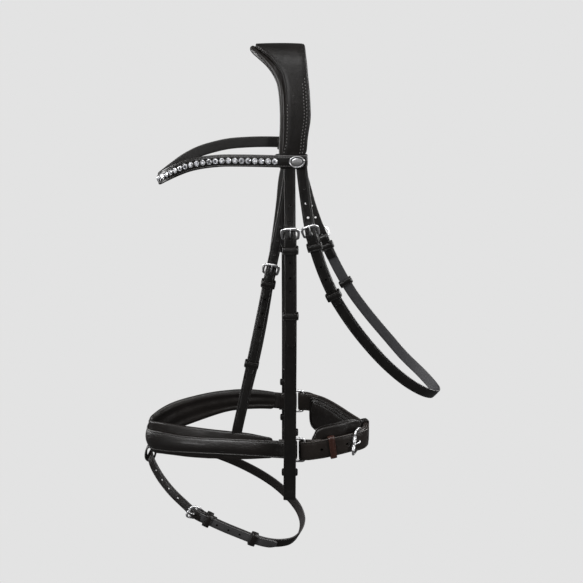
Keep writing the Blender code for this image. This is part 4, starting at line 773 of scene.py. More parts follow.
for side in SIDES:
    rail = CHEEK[side]
    end = rail.length
    billet("cheek_billet_" + side, rail, 0.0, CHEEK_BAR, CHEEK_TIP, CHEEK_BILLET_WIDTH,
           billet_holes(CHEEK_BAR, CHEEK_HOLES, CHEEK_HOLE_RADIUS))
    straight = lay(rail, [(CHEEK_BAR + 14, LAYER / 2), (end - 26, LAYER / 2)])[1:-1]
    rows = chape(CHEEK_BAR, 32.0) + straight + [(end + ahead, level) for ahead, level in BIT_FOLD]
    sheet("cheekpiece_" + side, rail, rows, cheek_width,
          holes=[(end - STUD_BACK, -3.7, 2.3, 2.3)], slots=[prong_slot(rail, CHEEK_BAR)])
    buckle("cheek", "_" + side, rail, CHEEK_BAR, CHEEK_WIDTH)
    half = CHEEK_WIDTH / 2 + 0.6
    sleeve("cheek_keeper_" + side, rail, CHEEK_BAR + 13.0, half, low=-3.6, high=6.8)
    sleeve("cheek_runner_" + side, rail, CHEEK_RUNNER[side], half, low=-0.6, high=5.9)
    for place_name, back in (("upper_", 91.5), ("lower_", 36.5)):
        sleeve("bit_keeper_" + place_name + side, rail, end - back, half + 0.7, low=-5.25,
               high=-2.15)

# ---------------------------------------------------------------- layout: throatlash
# Positions along the rail from each side's top; holes are (along from the bar, level).
THROAT_ENDS = {
    "near": SimpleNamespace(
        rail=THROAT, bar=75.5, tip=165.0, runner=152.0,
        holes=[(-54.5, 0.0), (-37.5, 0.4), (-21.5, 1.9), (38, BILLET_LEVEL), (54, BILLET_LEVEL),
               (70, BILLET_LEVEL)]),
    "off": SimpleNamespace(
        rail=THROAT_BACK, bar=119.0, tip=197.0, runner=188.0,
        holes=[(-62, 0.0), (-45, 0.0), (-28.5, 1.2), (38, BILLET_LEVEL), (54, BILLET_LEVEL)]),
}
for side, end in THROAT_ENDS.items():
    billet("throat_billet_" + side, end.rail, 2.2, end.bar, end.tip, THROAT_BILLET_WIDTH,
           billet_holes(end.bar, end.holes))
    buckle("throat", "_" + side, end.rail, end.bar, THROAT_WIDTH)
    half = THROAT_WIDTH / 2 + 0.6
    sleeve("throat_keeper_" + side, end.rail, end.bar + 13.0, half, low=-3.7, high=6.8)
    sleeve("throat_runner_" + side, end.rail, end.runner, half + 0.3, low=-0.9, high=6.4)

near_bar, off_bar = THROAT_ENDS["near"].bar, THROAT_ENDS["off"].bar
rows = chape(near_bar, 30.0)
rows += lay(THROAT, [(near_bar + 14, LAYER / 2), (THROAT.length - off_bar - 14, LAYER / 2)],
            turn=8)[1:-1]
rows += [(THROAT.length - pos, level) for pos, level in chape(off_bar, 30.0)[::-1]]
sheet("throatlash", THROAT, rows, THROAT_WIDTH, LASH,
      slots=[prong_slot(THROAT, near_bar), prong_slot(THROAT_BACK, off_bar)])

# ---------------------------------------------------------------- layout: noseband hangers
SLIP_BAR = SLIP.where(2, -245.5, SLIP.length / 2)  # pivot bar, near side
SLIP_TIP = SLIP_BAR + 129.0
SLIP_HOLES = [(-24, 1.6), (-41, 0.2), (-58, 0.0), (31, BILLET_LEVEL), (49, BILLET_LEVEL),
              (67, BILLET_LEVEL)]
rows = lay(SLIP, [(4.0, 0.0), (SLIP_BAR - 44, 0.0)], turn=8) + over_buckle(SLIP_BAR, 1)
rows += lay(SLIP, [(SLIP_BAR + 20, BILLET_LEVEL), (SLIP_TIP, BILLET_LEVEL)])[1:]
sheet("noseband_sliphead", SLIP, with_tip(rows, SLIP_TIP), taper(NOSE_BILLET_WIDTH / 2, SLIP_TIP),
      holes=billet_holes(SLIP_BAR, SLIP_HOLES))
rows = chape(SLIP_BAR, 30.0)
rows += lay(SLIP, [(SLIP_BAR + 14, LAYER / 2), (SLIP.length - 40, LAYER / 2),
                   (SLIP.length - 28, 0.0), (SLIP.length - 4, 0.0)])[1:]
sheet("noseband_hanger_near", SLIP, rows, NOSE_WIDTH, slots=[prong_slot(SLIP, SLIP_BAR)])
buckle("nose", "", SLIP, SLIP_BAR, NOSE_WIDTH)
sleeve("nose_keeper", SLIP, SLIP_BAR + 12.6, NOSE_WIDTH / 2 + 0.5, low=-3.6, high=6.8)
sleeve("nose_runner", SLIP, SLIP_BAR + 117.0, NOSE_WIDTH / 2 + 0.7, low=-0.6, high=6.0)

# ---------------------------------------------------------------- layout: noseband and rings
NOSE_MIDDLE = NOSE.length / 2
NOSE_BODY_START = 27.0  # the plain run between the two folded ends
NOSE_BODY_END = NOSE.length - NOSE_BODY_START


def nose_end(pos):
    return min(pos, NOSE.length - pos)


def nose_width(pos):
    half = table([(0, 12.2), (60, 11.8), (105, 11.6), (145, 12.3), (175, 13.9),
                  (NOSE.length, 14.6)], nose_end(pos))
    return -half, half


def nose_fold(bar, direction):
    """From the inner end, round a ring's front bar, to the outer layer."""
    inner = [(20, -3.4), (8, -3.5), (3.4, -3.1)]
    outer = [(3.4, 2.9), (9, 1.0), (20, 0.0)]
    return ([(bar + direction * ahead, level) for ahead, level in inner]
            + fold(bar, direction, RING_RADIUS + 0.35 + NOSE_THICK / 2)
            + [(bar + direction * ahead, level) for ahead, level in outer])


nose_run = steps(NOSE, NOSE_BODY_START, NOSE_BODY_END, turn=8, longest=24)
NOSE_ROWS = (nose_fold(0.0, 1.0) + [(pos, 0.0) for pos in nose_run]
             + nose_fold(NOSE.length, -1.0)[::-1])

# Lining: reach above and below the rail against the distance from the nearer end.
LINING_NEAR_UP = [(0, 13.4), (27, 14.5), (60, 18.6), (100, 21.0), (140, 23.5), (180, 25.0),
                  (NOSE.length, 24.2)]
LINING_NEAR_DOWN = [(0, 13.4), (27, 14.5), (60, 18.4), (100, 20.6), (140, 21.0), (172, 20.2),
                    (NOSE.length, 18.4)]
LINING_OFF_UP = [(0, 12.6), (27, 13.4), (60, 15.8), (100, 17.6), (140, 19.0), (180, 22.0),
                 (NOSE.length, 24.2)]
LINING_OFF_DOWN = [(0, 12.2), (27, 12.8), (60, 14.0), (90, 15.5), (120, 18.5), (150, 20.2),
                   (172, 19.6), (NOSE.length, 18.4)]
LINING_FILL = [(0, 0.35), (27, 0.5), (60, 1.0), (NOSE_MIDDLE - 36, 1.0),
               (NOSE_MIDDLE - 14, 0.66), (NOSE.length, 0.66)]
LINING_BACK = -1.95  # level of the lining's outer face


def lining_section(pos):
    """Outline (across, level): two lobes on the inner side, thinner at the ends and front."""
    is_near = pos > NOSE_MIDDLE
    reach = nose_end(pos)
    up = table(LINING_NEAR_UP if is_near else LINING_OFF_UP, reach)
    down = table(LINING_NEAR_DOWN if is_near else LINING_OFF_DOWN, reach)
    fill = table(LINING_FILL, reach)
    outline = [(3.5 - down, -1.95), (up - 3.5, -1.95), (up - 0.8, -2.7), (up, -4.9),
               (up - 1.6, -7.6), (up - 5.5, -9.2), (up * 0.4, -7.4), (0, -8.8),
               (-down * 0.4, -7.4), (5.5 - down, -9.2), (1.6 - down, -7.6), (-down, -4.9),
               (0.8 - down, -2.7)]
    return [(side, LINING_BACK + (level - LINING_BACK) * fill) for side, level in outline]


for side, (rear, y, z) in (("near", RING_NEAR), ("off", RING_OFF)):
    front, tall = RING_FRONT_X, RING_HALF_HEIGHT
    upper = [(tall - 2, front), (tall - 0.6, front + 0.6), (tall, front + 2), (tall, rear - 2),
             (tall - 0.6, rear - 0.6), (tall - 2, rear)]  # (z from the middle, x)
    wire("noseband_ring_" + side, "ring", [(x, y, z + up) for up, x in mirrored_ring(upper)],
         RING_RADIUS)

# Flash loop: a folded tab below the front of the noseband; (pos, level) down and back up.
TAB = Rail(with_across([(-181.2, 0, -484.0), (-182.4, 0, -498.0), (-185.2, 0, -510.0),
                        (-189.0, 0, -526.0)], (0, 1, 0)))
TAB_ROWS = [(0.0, 1.3), (18.5, 1.3), (22.2, 3.8), (26.0, 5.9), (33.5, 6.2), (39.4, 4.2),
            (41.6, 0.0), (39.4, -4.2), (33.5, -6.2), (25.5, -6.0), (21.5, -4.2), (18.5, -1.3),
            (0.0, -1.3)]
sheet("flash_loop", TAB, TAB_ROWS, 11.0, FLASH_DARK, thick=FLASH_THICK)

# ---------------------------------------------------------------- layout: flash strap
# The strap passes its start again at the front, so its billet lies at FLASH_ROUND and beyond.
FLASH_ROUND = FLASH.length
FLASH_BAR = FLASH.where(0, -121.0, 20.0)
FLASH_TIP = FLASH_ROUND + (FLASH_BAR + 114.0)
FLASH_OVER = FLASH_ROUND + FLASH_BAR  # the bar again, one round on
FLASH_HOLES = [(-33.0, 1.0), (-50.0, 0.7), (-64.5, 0.4), (-79.5, 0.2), (29.0, BILLET_LEVEL),
               (45.5, BILLET_LEVEL), (61.5, BILLET_LEVEL)]
flash_start_rows = chape(FLASH_BAR, 26.0) + lay(
    FLASH, [(FLASH_BAR + 14, LAYER / 2), (FLASH_ROUND - 12, LAYER / 2), (FLASH_ROUND, 0.0)],
    turn=8)[1:] + [(FLASH_ROUND + 3.0, 0.0)]
flash_billet_rows = [(FLASH_ROUND - 1.5, 0.02)] + lay(
    FLASH, [(FLASH_ROUND, 0.0), (FLASH_ROUND + 12, 0.0), (FLASH_OVER - 26, 1.4),
            (FLASH_OVER - 14, 2.9)], turn=8)[1:] + over_buckle(FLASH_OVER, 3)
flash_billet_rows += lay(FLASH, [(FLASH_OVER + 20, BILLET_LEVEL), (FLASH_TIP, BILLET_LEVEL)],
                         turn=8)[1:]
flash_billet_rows = with_tip(flash_billet_rows, FLASH_TIP)


def flash_width(pos):
    narrow = 0.4 if pos > FLASH_ROUND else 0.0
    half = (FLASH_WIDTH / 2 - narrow) * tip_scale(pos, FLASH_TIP, length=9.0, blunt=0.5)
    return -half, half


def flash_billet_width(pos):
    """A little narrower where it lies inside the end of the first piece."""
    low, high = flash_width(max(pos, FLASH_ROUND + 0.01))
    scale = 0.985 if pos < FLASH_ROUND + 6 else 1.0
    return low * scale, high * scale


buckle("flash", "", FLASH, FLASH_BAR, FLASH_WIDTH)
sleeve("flash_keeper", FLASH, FLASH_BAR + 15.5, FLASH_WIDTH / 2 + 0.7, low=-3.9, high=6.9,
       length=9.0, material=FLASH_DARK)
sleeve("flash_runner", FLASH, FLASH_BAR + 81.0, FLASH_WIDTH / 2 + 0.9, low=-0.9, high=6.4,
       length=9.0, material=FLASH_DARK)

# ---------------------------------------------------------------- layout: jaw strap
JAW_BAR = JAW.where(0, 87.0)  # pivot bar of the crank buckle, near side
JAW_TIP = JAW_BAR + 47.0
ROLLER_BACK, ROLLER_LEVEL = 16.5, 6.4  # roller, back and out from the pivot bar
RING_FOLD = 3.4  # radius of the wide fold round a ring's rear bar


def thinned(reach):
    """Leather is thinner where it folds round a ring; reach is the distance from there."""
    return -0.75 * (1.0 - min(1.0, max(0.0, (reach - 4.0) / 6.0)))


def jaw_hump(side, pos):
    return thinned(min(pos, JAW.length - pos))


def ring_end(start, direction):
    """A strap end round a ring's rear bar; the strap runs towards direction."""
    inner = [(24, -2.75), (10, -2.9), (5, -RING_FOLD)]
    outer = [(5, RING_FOLD), (10, 1.8), (18, 0.0)]
    return ([(start + direction * ahead, level) for ahead, level in inner]
            + fold(start - direction * 2.6, direction, RING_FOLD)
            + [(start + direction * ahead, level) for ahead, level in outer])


JAW_OVER = [(-26, 1.2), (-ROLLER_BACK, 2.2), (-8, 4.3)] + BILLET_OVER[4:]
rows = ring_end(0.0, 1.0) + lay(JAW, [(18, 0.0), (JAW_BAR - 40, 0.0)], turn=8)[1:]
rows += [(JAW_BAR + ahead, level) for ahead, level in JAW_OVER]
rows += lay(JAW, [(JAW_BAR + 20, BILLET_LEVEL), (JAW_TIP, BILLET_LEVEL)], turn=8)[1:]
jaw_holes = [(22.0, 0.0), (39.0, 0.0), (JAW_BAR - 21, 1.8), (JAW_BAR + 13.5, 4.5)]
sheet("jaw_billet_near", JAW, with_tip(rows, JAW_TIP, 6.0),
      taper(JAW_WIDTH / 2 - 0.4, JAW_TIP, length=6.0, blunt=0.72), JAWS, hump=jaw_hump,
      holes=[(pos, level, 1.9, 1.9) for pos, level in jaw_holes]
      + [(JAW_BAR - 2.8, 5.1, 1.9, 3.4)])
rows = chape(JAW_BAR, 30.0)
rows += lay(JAW, [(JAW_BAR + 14, LAYER / 2), (JAW.length - 30, LAYER / 2),
                  (JAW.length - 18, 0.0)], turn=8)[1:-1]
sheet("jaw_strap_off", JAW, rows + ring_end(JAW.length, -1.0)[::-1], JAW_STRAP_WIDTH, JAWS,
      slots=[prong_slot(JAW, JAW_BAR, width=3.8)], hump=jaw_hump)
buckle("crank", "", JAW, JAW_BAR, JAW_WIDTH, far=ROLLER_BACK, top=ROLLER_LEVEL, flare=0.6,
       radius=1.3, ride=3.0)
sleeve("chin_keeper_near", JAW, 35.5, JAW_WIDTH / 2 + 0.7, low=-1.9, high=2.3, material=BROWN)
sleeve("chin_keeper_off", JAW, JAW_BAR + 39.0, JAW_WIDTH / 2 + 0.7, low=-0.9, high=6.4)

# Chin pad: reach above and below the rail against distance from the near or the off end.
CHIN_NEAR_UP = [(9, 9.0), (14, 17.0), (19.5, 24.0), (32, 26.0), (60, 25.0), (80, 22.0),
                (95, 16.0), (JAW.length, 13.4)]
CHIN_NEAR_DOWN = [(9, 8.0), (16, 12.4), (25, 14.0), (58, 14.0), (95, 13.2), (130, 14.0),
                  (JAW.length, 15.0)]
CHIN_OFF_UP = [(13, 8.0), (22, 12.6), (32, 13.8), (50, 14.2), (80, 13.6), (JAW.length, 13.4)]
CHIN_OFF_DOWN = [(13, 16.0), (16, 26.0), (22, 33.0), (32, 36.0), (46, 36.0), (66, 30.0),
                 (90, 20.0), (115, 15.6), (JAW.length, 15.0)]
CHIN_FILL = [(0, 0.3), (7, 0.8), (18, 1.0), (JAW.length, 1.0)]
CHIN_BACK = -4.6  # level of the pad's outer face
CHIN_DEEP = -9.0  # nominal depth inwards from there


def chin_reach(pos):
    """(up, down, fill) of the chin pad."""
    left = JAW.length - pos
    fill = table(CHIN_FILL, min(pos - 9, left - 13))
    if pos < left:
        return table(CHIN_NEAR_UP, pos), table(CHIN_NEAR_DOWN, pos), fill
    return table(CHIN_OFF_UP, left), table(CHIN_OFF_DOWN, left), fill


def chin_section(pos):
    """Outline (across, level) with a full pillow on the jaw side."""
    up, down, fill = chin_reach(pos)
    outline = [(2.0 - down, 0.0), (up - 2.0, 0.0), (up - 0.3, -1.0), (up, -2.8), (up - 1.4, -5.2),
               (up - 5.0, -7.4), (up * 0.45, -9.0), ((up - down) / 2, -9.5),
               (-down * 0.45, -9.0), (5.0 - down, -7.4), (1.4 - down, -5.2), (-down, -2.8),
               (0.3 - down, -1.0)]
    return [(side, CHIN_BACK + depth * fill) for side, depth in outline]


# ---------------------------------------------------------------- mesh tools
SHIFT = {}  # how far each centred piece was moved, for its trimmings


def catmull(points, counts, closed=False):
    """Centripetal Catmull-Rom line; counts[i] samples on span i."""
    points = np.asarray(points, float)
    count = len(points)
    line = []
    for i in range(count if closed else count - 1):
        start, end = points[i], points[(i + 1) % count]
        before = points[i - 1] if closed or i > 0 else 2 * start - end
        after = points[(i + 2) % count] if closed or i + 2 < count else 2 * end - start
        knots = [0.0]
        for tail, head in ((before, start), (start, end), (end, after)):
            knots.append(knots[-1] + max(1e-4, np.linalg.norm(head - tail)) ** 0.5)

        def between(time, first, last, low, high):
            span = knots[last] - knots[first]
            return (knots[last] - time) / span * low + (time - knots[first]) / span * high

        for j in range(counts[i]):
            time = knots[1] + (knots[2] - knots[1]) * j / counts[i]
            middle = between(time, 1, 2, start, end)
            low = between(time, 0, 2, between(time, 0, 1, before, start), middle)
            high = between(time, 1, 3, middle, between(time, 2, 3, end, after))
            line.append(between(time, 1, 2, low, high))
    if not closed:
        line.append(points[-1])
    return np.array(line)


def resample(rows, fine, coarse):
    """Smooth rows: close in folds, wider on straight runs, and three at each cut end."""
    kept = [rows[0]]
    for row in rows[1:]:
        if math.dist(row, kept[-1]) > 0.3:
            kept.append(row)
    kept = np.array(kept, float)
    counts = []
    for start, end in zip(kept, kept[1:]):
        span = float(np.linalg.norm(end - start))
        is_fine = span < 6.0 or abs(end[1] - start[1]) > 0.3 * span
        counts.append(max(1, math.ceil(span / (fine if is_fine else coarse))))
    line = catmull(kept, counts)

    def lead(end, inner):
        gap = float(np.linalg.norm(inner - end))
        return [end + (inner - end) * min(0.45, step / gap) for step in (0.3, 0.9)]

    return np.concatenate([line[:1], lead(line[0], line[1]), line[1:-1],
                           lead(line[-1], line[-2])[::-1], line[-1:]])


def smooth_shade(mesh, degrees):
    mesh.shade_smooth()
    mesh.set_sharp_from_angle(angle=math.radians(degrees))


def make(name, verts, faces, material, marks=None, facets=None, angle=48.0, turn=True):
    """Mesh object from millimetres. marks: (flesh, rim, crease) per vertex; facets: one value
    per face; angle: sharp edges from here, or None for flat; turn: make faces point outward."""
    mesh = bpy.data.meshes.new(name)
    scaled = (np.asarray(verts, float) * MILLI).tolist()
    mesh.from_pydata(scaled, [], [list(map(int, face)) for face in faces])
    layers = []
    if marks is not None:
        layers = list(zip(("flesh", "rim", "crease"), np.array(marks, float).T))
    for key, values in layers:
        layer = mesh.attributes.new(key, "FLOAT", "POINT")
        layer.data.foreach_set("value", np.asarray(values, np.float32))
    if facets is not None:
        layer = mesh.attributes.new("facet", "FLOAT", "FACE")
        layer.data.foreach_set("value", np.asarray(facets, np.float32))
    if turn:
        solid = bmesh.new()
        solid.from_mesh(mesh)
        bmesh.ops.recalc_face_normals(solid, faces=solid.faces)
        if solid.calc_volume(signed=True) < 0:
            bmesh.ops.reverse_faces(solid, faces=solid.faces)
        solid.to_mesh(mesh)
        solid.free()
    mesh.materials.append(material)
    if angle:
        smooth_shade(mesh, angle)
    obj = bpy.data.objects.new(name, mesh)
    bpy.context.scene.collection.objects.link(obj)
    return obj


def points_of(mesh):
    coords = np.empty(len(mesh.vertices) * 3)
    mesh.vertices.foreach_get("co", coords)
    return coords.reshape(-1, 3)


def skin(rings, loop=False):
    """Quads between rings of equal length, with end caps unless it closes on itself."""
    count, around, _ = rings.shape
    faces = []
    for row in range(count if loop else count - 1):
        low, high = row * around, ((row + 1) % count) * around
        for i in range(around):
            after = (i + 1) % around
            faces.append((low + i, low + after, high + after, high + i))
    if not loop:
        faces.append(tuple(range(around)))
        faces.append(tuple((count - 1) * around + i for i in range(around)))
    return rings.reshape(-1, 3), faces


def anchor(obj, node):
    """Centres a mesh on the CAD node's box; where the two are far apart the move is limited."""
    coords = points_of(obj.data)
    low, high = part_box(node)
    move = (np.array(low) + np.array(high)) / 2 - (coords.min(0) + coords.max(0)) / 2
    if np.abs(move).max() > 0.0015:  # metres
        move = np.clip(move, -0.0008, 0.0008)
    SHIFT[node] = move
    obj.data.transform(Matrix.Translation(Vector(move)))


def mount(obj, node, replace=True):
    """Fixes a piece on the node's body; with replace it stands for the CAD node."""
    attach(obj, BODY[node])
    if replace:
        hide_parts(node)


def place(obj, node):
    anchor(obj, node)
    mount(obj, node)


def trim(obj, node):
    """A trimming takes the same move as the piece it sits on."""
    if node in SHIFT:
        obj.data.transform(Matrix.Translation(Vector(SHIFT[node])))
    mount(obj, node, replace=False)


# ---------------------------------------------------------------- straps
def strap_section(half, thick, crown, groove, inset, edge):
    """Closed outline (across, level, marks); thick is half the thickness."""
    edge = min(edge, half * 0.45)
    line = half - min(inset, half * 0.42)
    flat = half - edge
    section = [(flat * part, -thick, (1, 0, 0)) for part in (-1.0, -0.5, 0.0, 0.5, 1.0)]

    def rounded(side, degrees, flesh, rim):
        angle = math.radians(degrees)
        return (side * flat + edge * math.cos(angle), thick * math.sin(angle),
                (0.6 if flesh else 0, 1 if rim else 0.45, 0))

    # The rounded edges carry the rim mark, which takes the painted edge highlight.
    for degrees in (-62, -32, 0, 32, 62):
        section.append(rounded(1, degrees, degrees < -40, abs(degrees) < 50))
    top = [(flat, 0), (line + 0.42, 0), (line, 1), (line - 0.42, 0), (line * 0.62, 0),
           (line * 0.3, 0), (0.0, 0)]  # (across, crease)
    top += [(-side, crease) for side, crease in top[-2::-1]]
    for side, crease in top:
        level = thick + crown * (1 - (side / half) ** 2) - groove * crease
        section.append((side, level, (0, 0.12 if abs(side) == flat else 0, crease)))
    for degrees in (118, 148, 180, 212, 242):
        section.append(rounded(-1, degrees, degrees > 220, 130 < degrees < 230))
    return section


def strap(name, rail, rows, width, thick, material, crown=0.22, groove=0.2, inset=CREASE_INSET,
          edge=0.95, fine=1.2, coarse=3.4, hump=None, ends=True):
    """A strap through rows. width: number or function to (low, high); hump(side, pos) lifts
    the top, side from -1 to 1; ends: rounded cut ends."""
    rows = resample(rows, fine, coarse)
    points, acrosses = [], []
    for pos, level in rows:
        point, _, across, out = rail.at(float(pos))
        points.append(point + out * float(level))
        acrosses.append(across)
    points, acrosses = np.array(points), np.array(acrosses)
    outs = np.cross(np.gradient(points, axis=0), acrosses)
    outs /= np.maximum(1e-9, np.linalg.norm(outs, axis=1))[:, None]
    rings, marks = [], []
    for i in range(len(rows)):
        pos = float(rows[i][0])
        low, high = width(pos) if callable(width) else (-width / 2, width / 2)
        half, middle = (high - low) / 2, (high + low) / 2
        half_thick = thick / 2
        from_end = min(i, len(rows) - 1 - i)
        if ends and from_end < 2:
            half = half - (0.5, 0.13)[from_end]
            half_thick = half_thick * (0.55, 0.88)[from_end]
        ring = []
        for side, level, mark in strap_section(half, half_thick, crown, groove, inset, edge):
            if hump is not None and level > 0:
                level = level + hump(side / half, pos)
            ring.append(points[i] + acrosses[i] * (side + middle) + outs[i] * level)
            marks.append(mark)
        rings.append(ring)
    verts, faces = skin(np.array(rings))
    return make(name, verts, faces, material, marks)


def settle(obj):
    """The evaluated mesh becomes the mesh, and the modifiers go."""
    bpy.context.view_layer.update()
    graph = bpy.context.evaluated_depsgraph_get()
    made = bpy.data.meshes.new_from_object(obj.evaluated_get(graph))
    obj.modifiers.clear()
    obj.data = made
    smooth_shade(made, 48)


def carve(obj, tool):
    cut = obj.modifiers.new("cut", "BOOLEAN")
    cut.operation = "DIFFERENCE"
    cut.object = tool
    cut.solver = "EXACT"
    settle(obj)
    bpy.data.objects.remove(tool)


def drill(obj, rail, holes, slots=()):
    """Holes and box slots through a strap, as one exact Boolean cut."""
    if not holes and not slots:
        return
    cutter = bmesh.new()

    def seat(verts, rail, pos, level, size):
        point, along, across, out = rail.at(pos)
        turn = Matrix((across, along, -out)).transposed().to_4x4()
        seated = Matrix.Translation((point + out * level) * MILLI) @ turn
        for vert in verts:
            vert.co = seated @ Vector([part * scale for part, scale in zip(vert.co, size)])

    for pos, level, radius_across, radius_along in holes:
        made = bmesh.ops.create_cone(cutter, cap_ends=True, segments=20, radius1=MILLI,
                                     radius2=MILLI, depth=5.6 * MILLI)
        seat(made["verts"], rail, pos, level, (radius_across, radius_along, 1.0))
    for slot_rail, pos, size, level in slots:
        made = bmesh.ops.create_cube(cutter, size=MILLI)
        seat(made["verts"], slot_rail, pos, level, size)
    bmesh.ops.recalc_face_normals(cutter, faces=cutter.faces)
    mesh = bpy.data.meshes.new("drill")
    cutter.to_mesh(mesh)
    cutter.free()
    tool = bpy.data.objects.new("drill", mesh)
    bpy.context.scene.collection.objects.link(tool)
    carve(obj, tool)


def keeper_path(spec, bulge):
    """Inner outline of a keeper: (across, level, normal across, normal level)."""
    corner = spec.corner
    side = spec.half - corner
    low, high = spec.low + corner, spec.high - corner
    centres = [(side, high, 0), (-side, high, 90), (-side, low, 180), (side, low, 270)]
    path = []
    for k, (x, y, first) in enumerate(centres):
        for j in range(7):
            angle = math.radians(first + 15 * j)
            cos, sin = math.cos(angle), math.sin(angle)
            path.append((x + corner * cos, y + corner * sin, cos, sin))
        next_x, next_y, _ = centres[(k + 1) % 4]
        angle = math.radians(first + 90)
        cos, sin = math.cos(angle), math.sin(angle)
        start = (x + corner * cos, y + corner * sin)
        end = (next_x + corner * cos, next_y + corner * sin)
        parts = max(2, int(math.dist(start, end) / 2.6))
        for j in range(1, parts):
            frac = j / parts
            lift = bulge * math.sin(math.pi * frac)
            path.append((start[0] + (end[0] - start[0]) * frac + lift * cos,
                         start[1] + (end[1] - start[1]) * frac + lift * sin, cos, sin))
    return path


def keeper(node, spec, bulge=0.16):
    """A loop of leather: a rounded flat section with two creases swept round its outline."""
    point, along, across, out = (np.array(part) for part in spec.rail.at(spec.pos))
    half, thick = spec.length / 2, spec.thick
    edge = min(0.5, thick * 0.4)
    # (along, depth from the inner face, (flesh, rim, crease))
    right = [(half - edge, 0, (1, 0, 0)), (half - 0.12, 0.14 * thick, (0.5, 0.6, 0)),
             (half, 0.5 * thick, (0, 1, 0)), (half - 0.12, 0.86 * thick, (0, 0.7, 0)),
             (half - edge, thick, (0, 0.1, 0)), (half - 1.0, thick, (0, 0, 0)),
             (half - 1.35, thick - 0.16, (0, 0, 1)), (half - 1.7, thick + 0.02, (0, 0, 0))]
    left = [(-ahead, depth, mark) for ahead, depth, mark in right]
    section = [left[0], (0, 0, (1, 0, 0))] + right + [(0, thick + 0.1, (0, 0, 0))]
    section += left[:0:-1]
    rings, marks = [], []
    for x, y, normal_x, normal_y in keeper_path(spec, bulge):
        rings.append([point + across * (x + normal_x * depth) + out * (y + normal_y * depth)
                      + along * ahead for ahead, depth, _ in section])
        marks += [mark for _, _, mark in section]
    verts, faces = skin(np.array(rings), loop=True)
    return make(node + "_fine", verts, faces, spec.material, marks)


# ---------------------------------------------------------------- bars and turned pieces
def rod(name, points, radius, material, closed, wide=1.0, segments=14, taper=None, step=0.9,
        power=2.4):
    """A bent bar of superelliptic section. wide: section width over height, a number or a
    function of the point; taper: radius factor against the fraction of the length."""
    points = np.array([tuple(point) for point in points], float)
    count = len(points)
    counts = [max(2, math.ceil(float(np.linalg.norm(points[(i + 1) % count] - points[i])) / step))
              for i in range(count if closed else count - 1)]
    line = catmull(points, counts, closed)
    if closed:
        ways = np.roll(line, -1, 0) - np.roll(line, 1, 0)
    else:
        ways = np.gradient(line, axis=0)
    ways /= np.linalg.norm(ways, axis=1)[:, None]
    normal = np.cross(ways[:-1], ways[1:]).sum(0)
    normal /= np.linalg.norm(normal)
    sides = np.cross(ways, normal)
    sides /= np.linalg.norm(sides, axis=1)[:, None]
    rings = []
    for i in range(len(line)):
        now = radius * (taper(i / (len(line) - 1)) if taper else 1.0)
        factor = wide(line[i]) if callable(wide) else wide
        from_end = min(i, len(line) - 1 - i)
        if not closed and from_end < 2:
            now *= (0.5, 0.86)[from_end]
        ring = []
        for j in range(segments):
            cos, sin = math.cos(math.tau * j / segments), math.sin(math.tau * j / segments)
            ring.append(line[i]
                        + sides[i] * (now * factor * math.copysign(abs(cos) ** (2 / power), cos))
                        + normal * (now * math.copysign(abs(sin) ** (2 / power), sin)))
        rings.append(ring)
    verts, faces = skin(np.array(rings), loop=closed)
    return make(name, verts, faces, material, angle=60)


def turned(profile, centre, axis, segments):
    """Points [profile][segment] of (radius, along) pairs turned round an axis."""
    main = np.array(axis.normalized())
    first = np.array(axis.orthogonal().normalized())
    second = np.cross(main, first)
    angles = [math.tau * i / segments for i in range(segments)]
    return np.array([[np.array(centre) + main * along
                      + (first * math.cos(angle) + second * math.sin(angle)) * radius
                      for angle in angles] for radius, along in profile])


# ---------------------------------------------------------------- stitches
def run_of(rail, start, end, across_by, level, pitch=2.9):
    """Stitch places (point, way, out) on a line; across_by and level may be functions of pos."""
    count = max(1, round(abs(end - start) / pitch))

    def spot(pos):
        point, _, across, out = rail.at(pos)
        side = across_by(pos) if callable(across_by) else across_by
        height = level(pos) if callable(level) else level
        return point + across * side + out * height

    found = []
    for i in range(count):
        pos = start + (end - start) * (i + 0.5) / count
        way = (spot(pos + 0.6) - spot(pos - 0.6)).normalized()
        found.append((np.array(spot(pos)), np.array(way), np.array(rail.at(pos)[3])))
    return found


def both_edges(rail, start, end, inset_half, level):
    """Runs at -inset_half and +inset_half."""
    return [stitch for sign in (-1, 1)
            for stitch in run_of(rail, start, end, sign * inset_half, level)]


STITCH_SINK = 0.05
# (share of the length, share of the radius, lift): dipping in at both ends
STITCH_SHAPE = [(-0.5, 0.35, -0.30), (-0.36, 0.85, -0.06), (0.0, 1.0, 0.06), (0.36, 0.85, -0.06),
                (0.5, 0.35, -0.30)]
STITCH_SEGMENTS = 6


def sew(name, places, node, material=THREAD, length=2.05, radius=0.34):
    """Every stitch is its own short rounded bar of thread."""
    segments, rows = STITCH_SEGMENTS, len(STITCH_SHAPE)
    verts, faces = [], []
    for index, (point, way, out) in enumerate(places):
        out = out - way * float(np.dot(out, way))
        out = out / np.linalg.norm(out)
        side = np.cross(way, out)
        tilt = 0.07 * math.sin(index * 2.4)
        base = len(verts)
        for share, scale, lift in STITCH_SHAPE:
            centre = (point + way * (share * length) + side * (tilt * share * 2)
                      + out * (lift - STITCH_SINK))
            for j in range(segments):
                angle = math.tau * j / segments
                verts.append(centre + side * (radius * scale * math.cos(angle))
                             + out * (radius * scale * 0.9 * math.sin(angle)))
        for i in range(rows - 1):
            low, high = base + i * segments, base + (i + 1) * segments
            for j in range(segments):
                after = (j + 1) % segments
                faces.append((low + j, low + after, high + after, high + j))
        faces.append(tuple(base + j for j in range(segments))[::-1])
        faces.append(tuple(base + (rows - 1) * segments + j for j in range(segments)))
    trim(make(name, verts, faces, material, angle=80, turn=False), node)


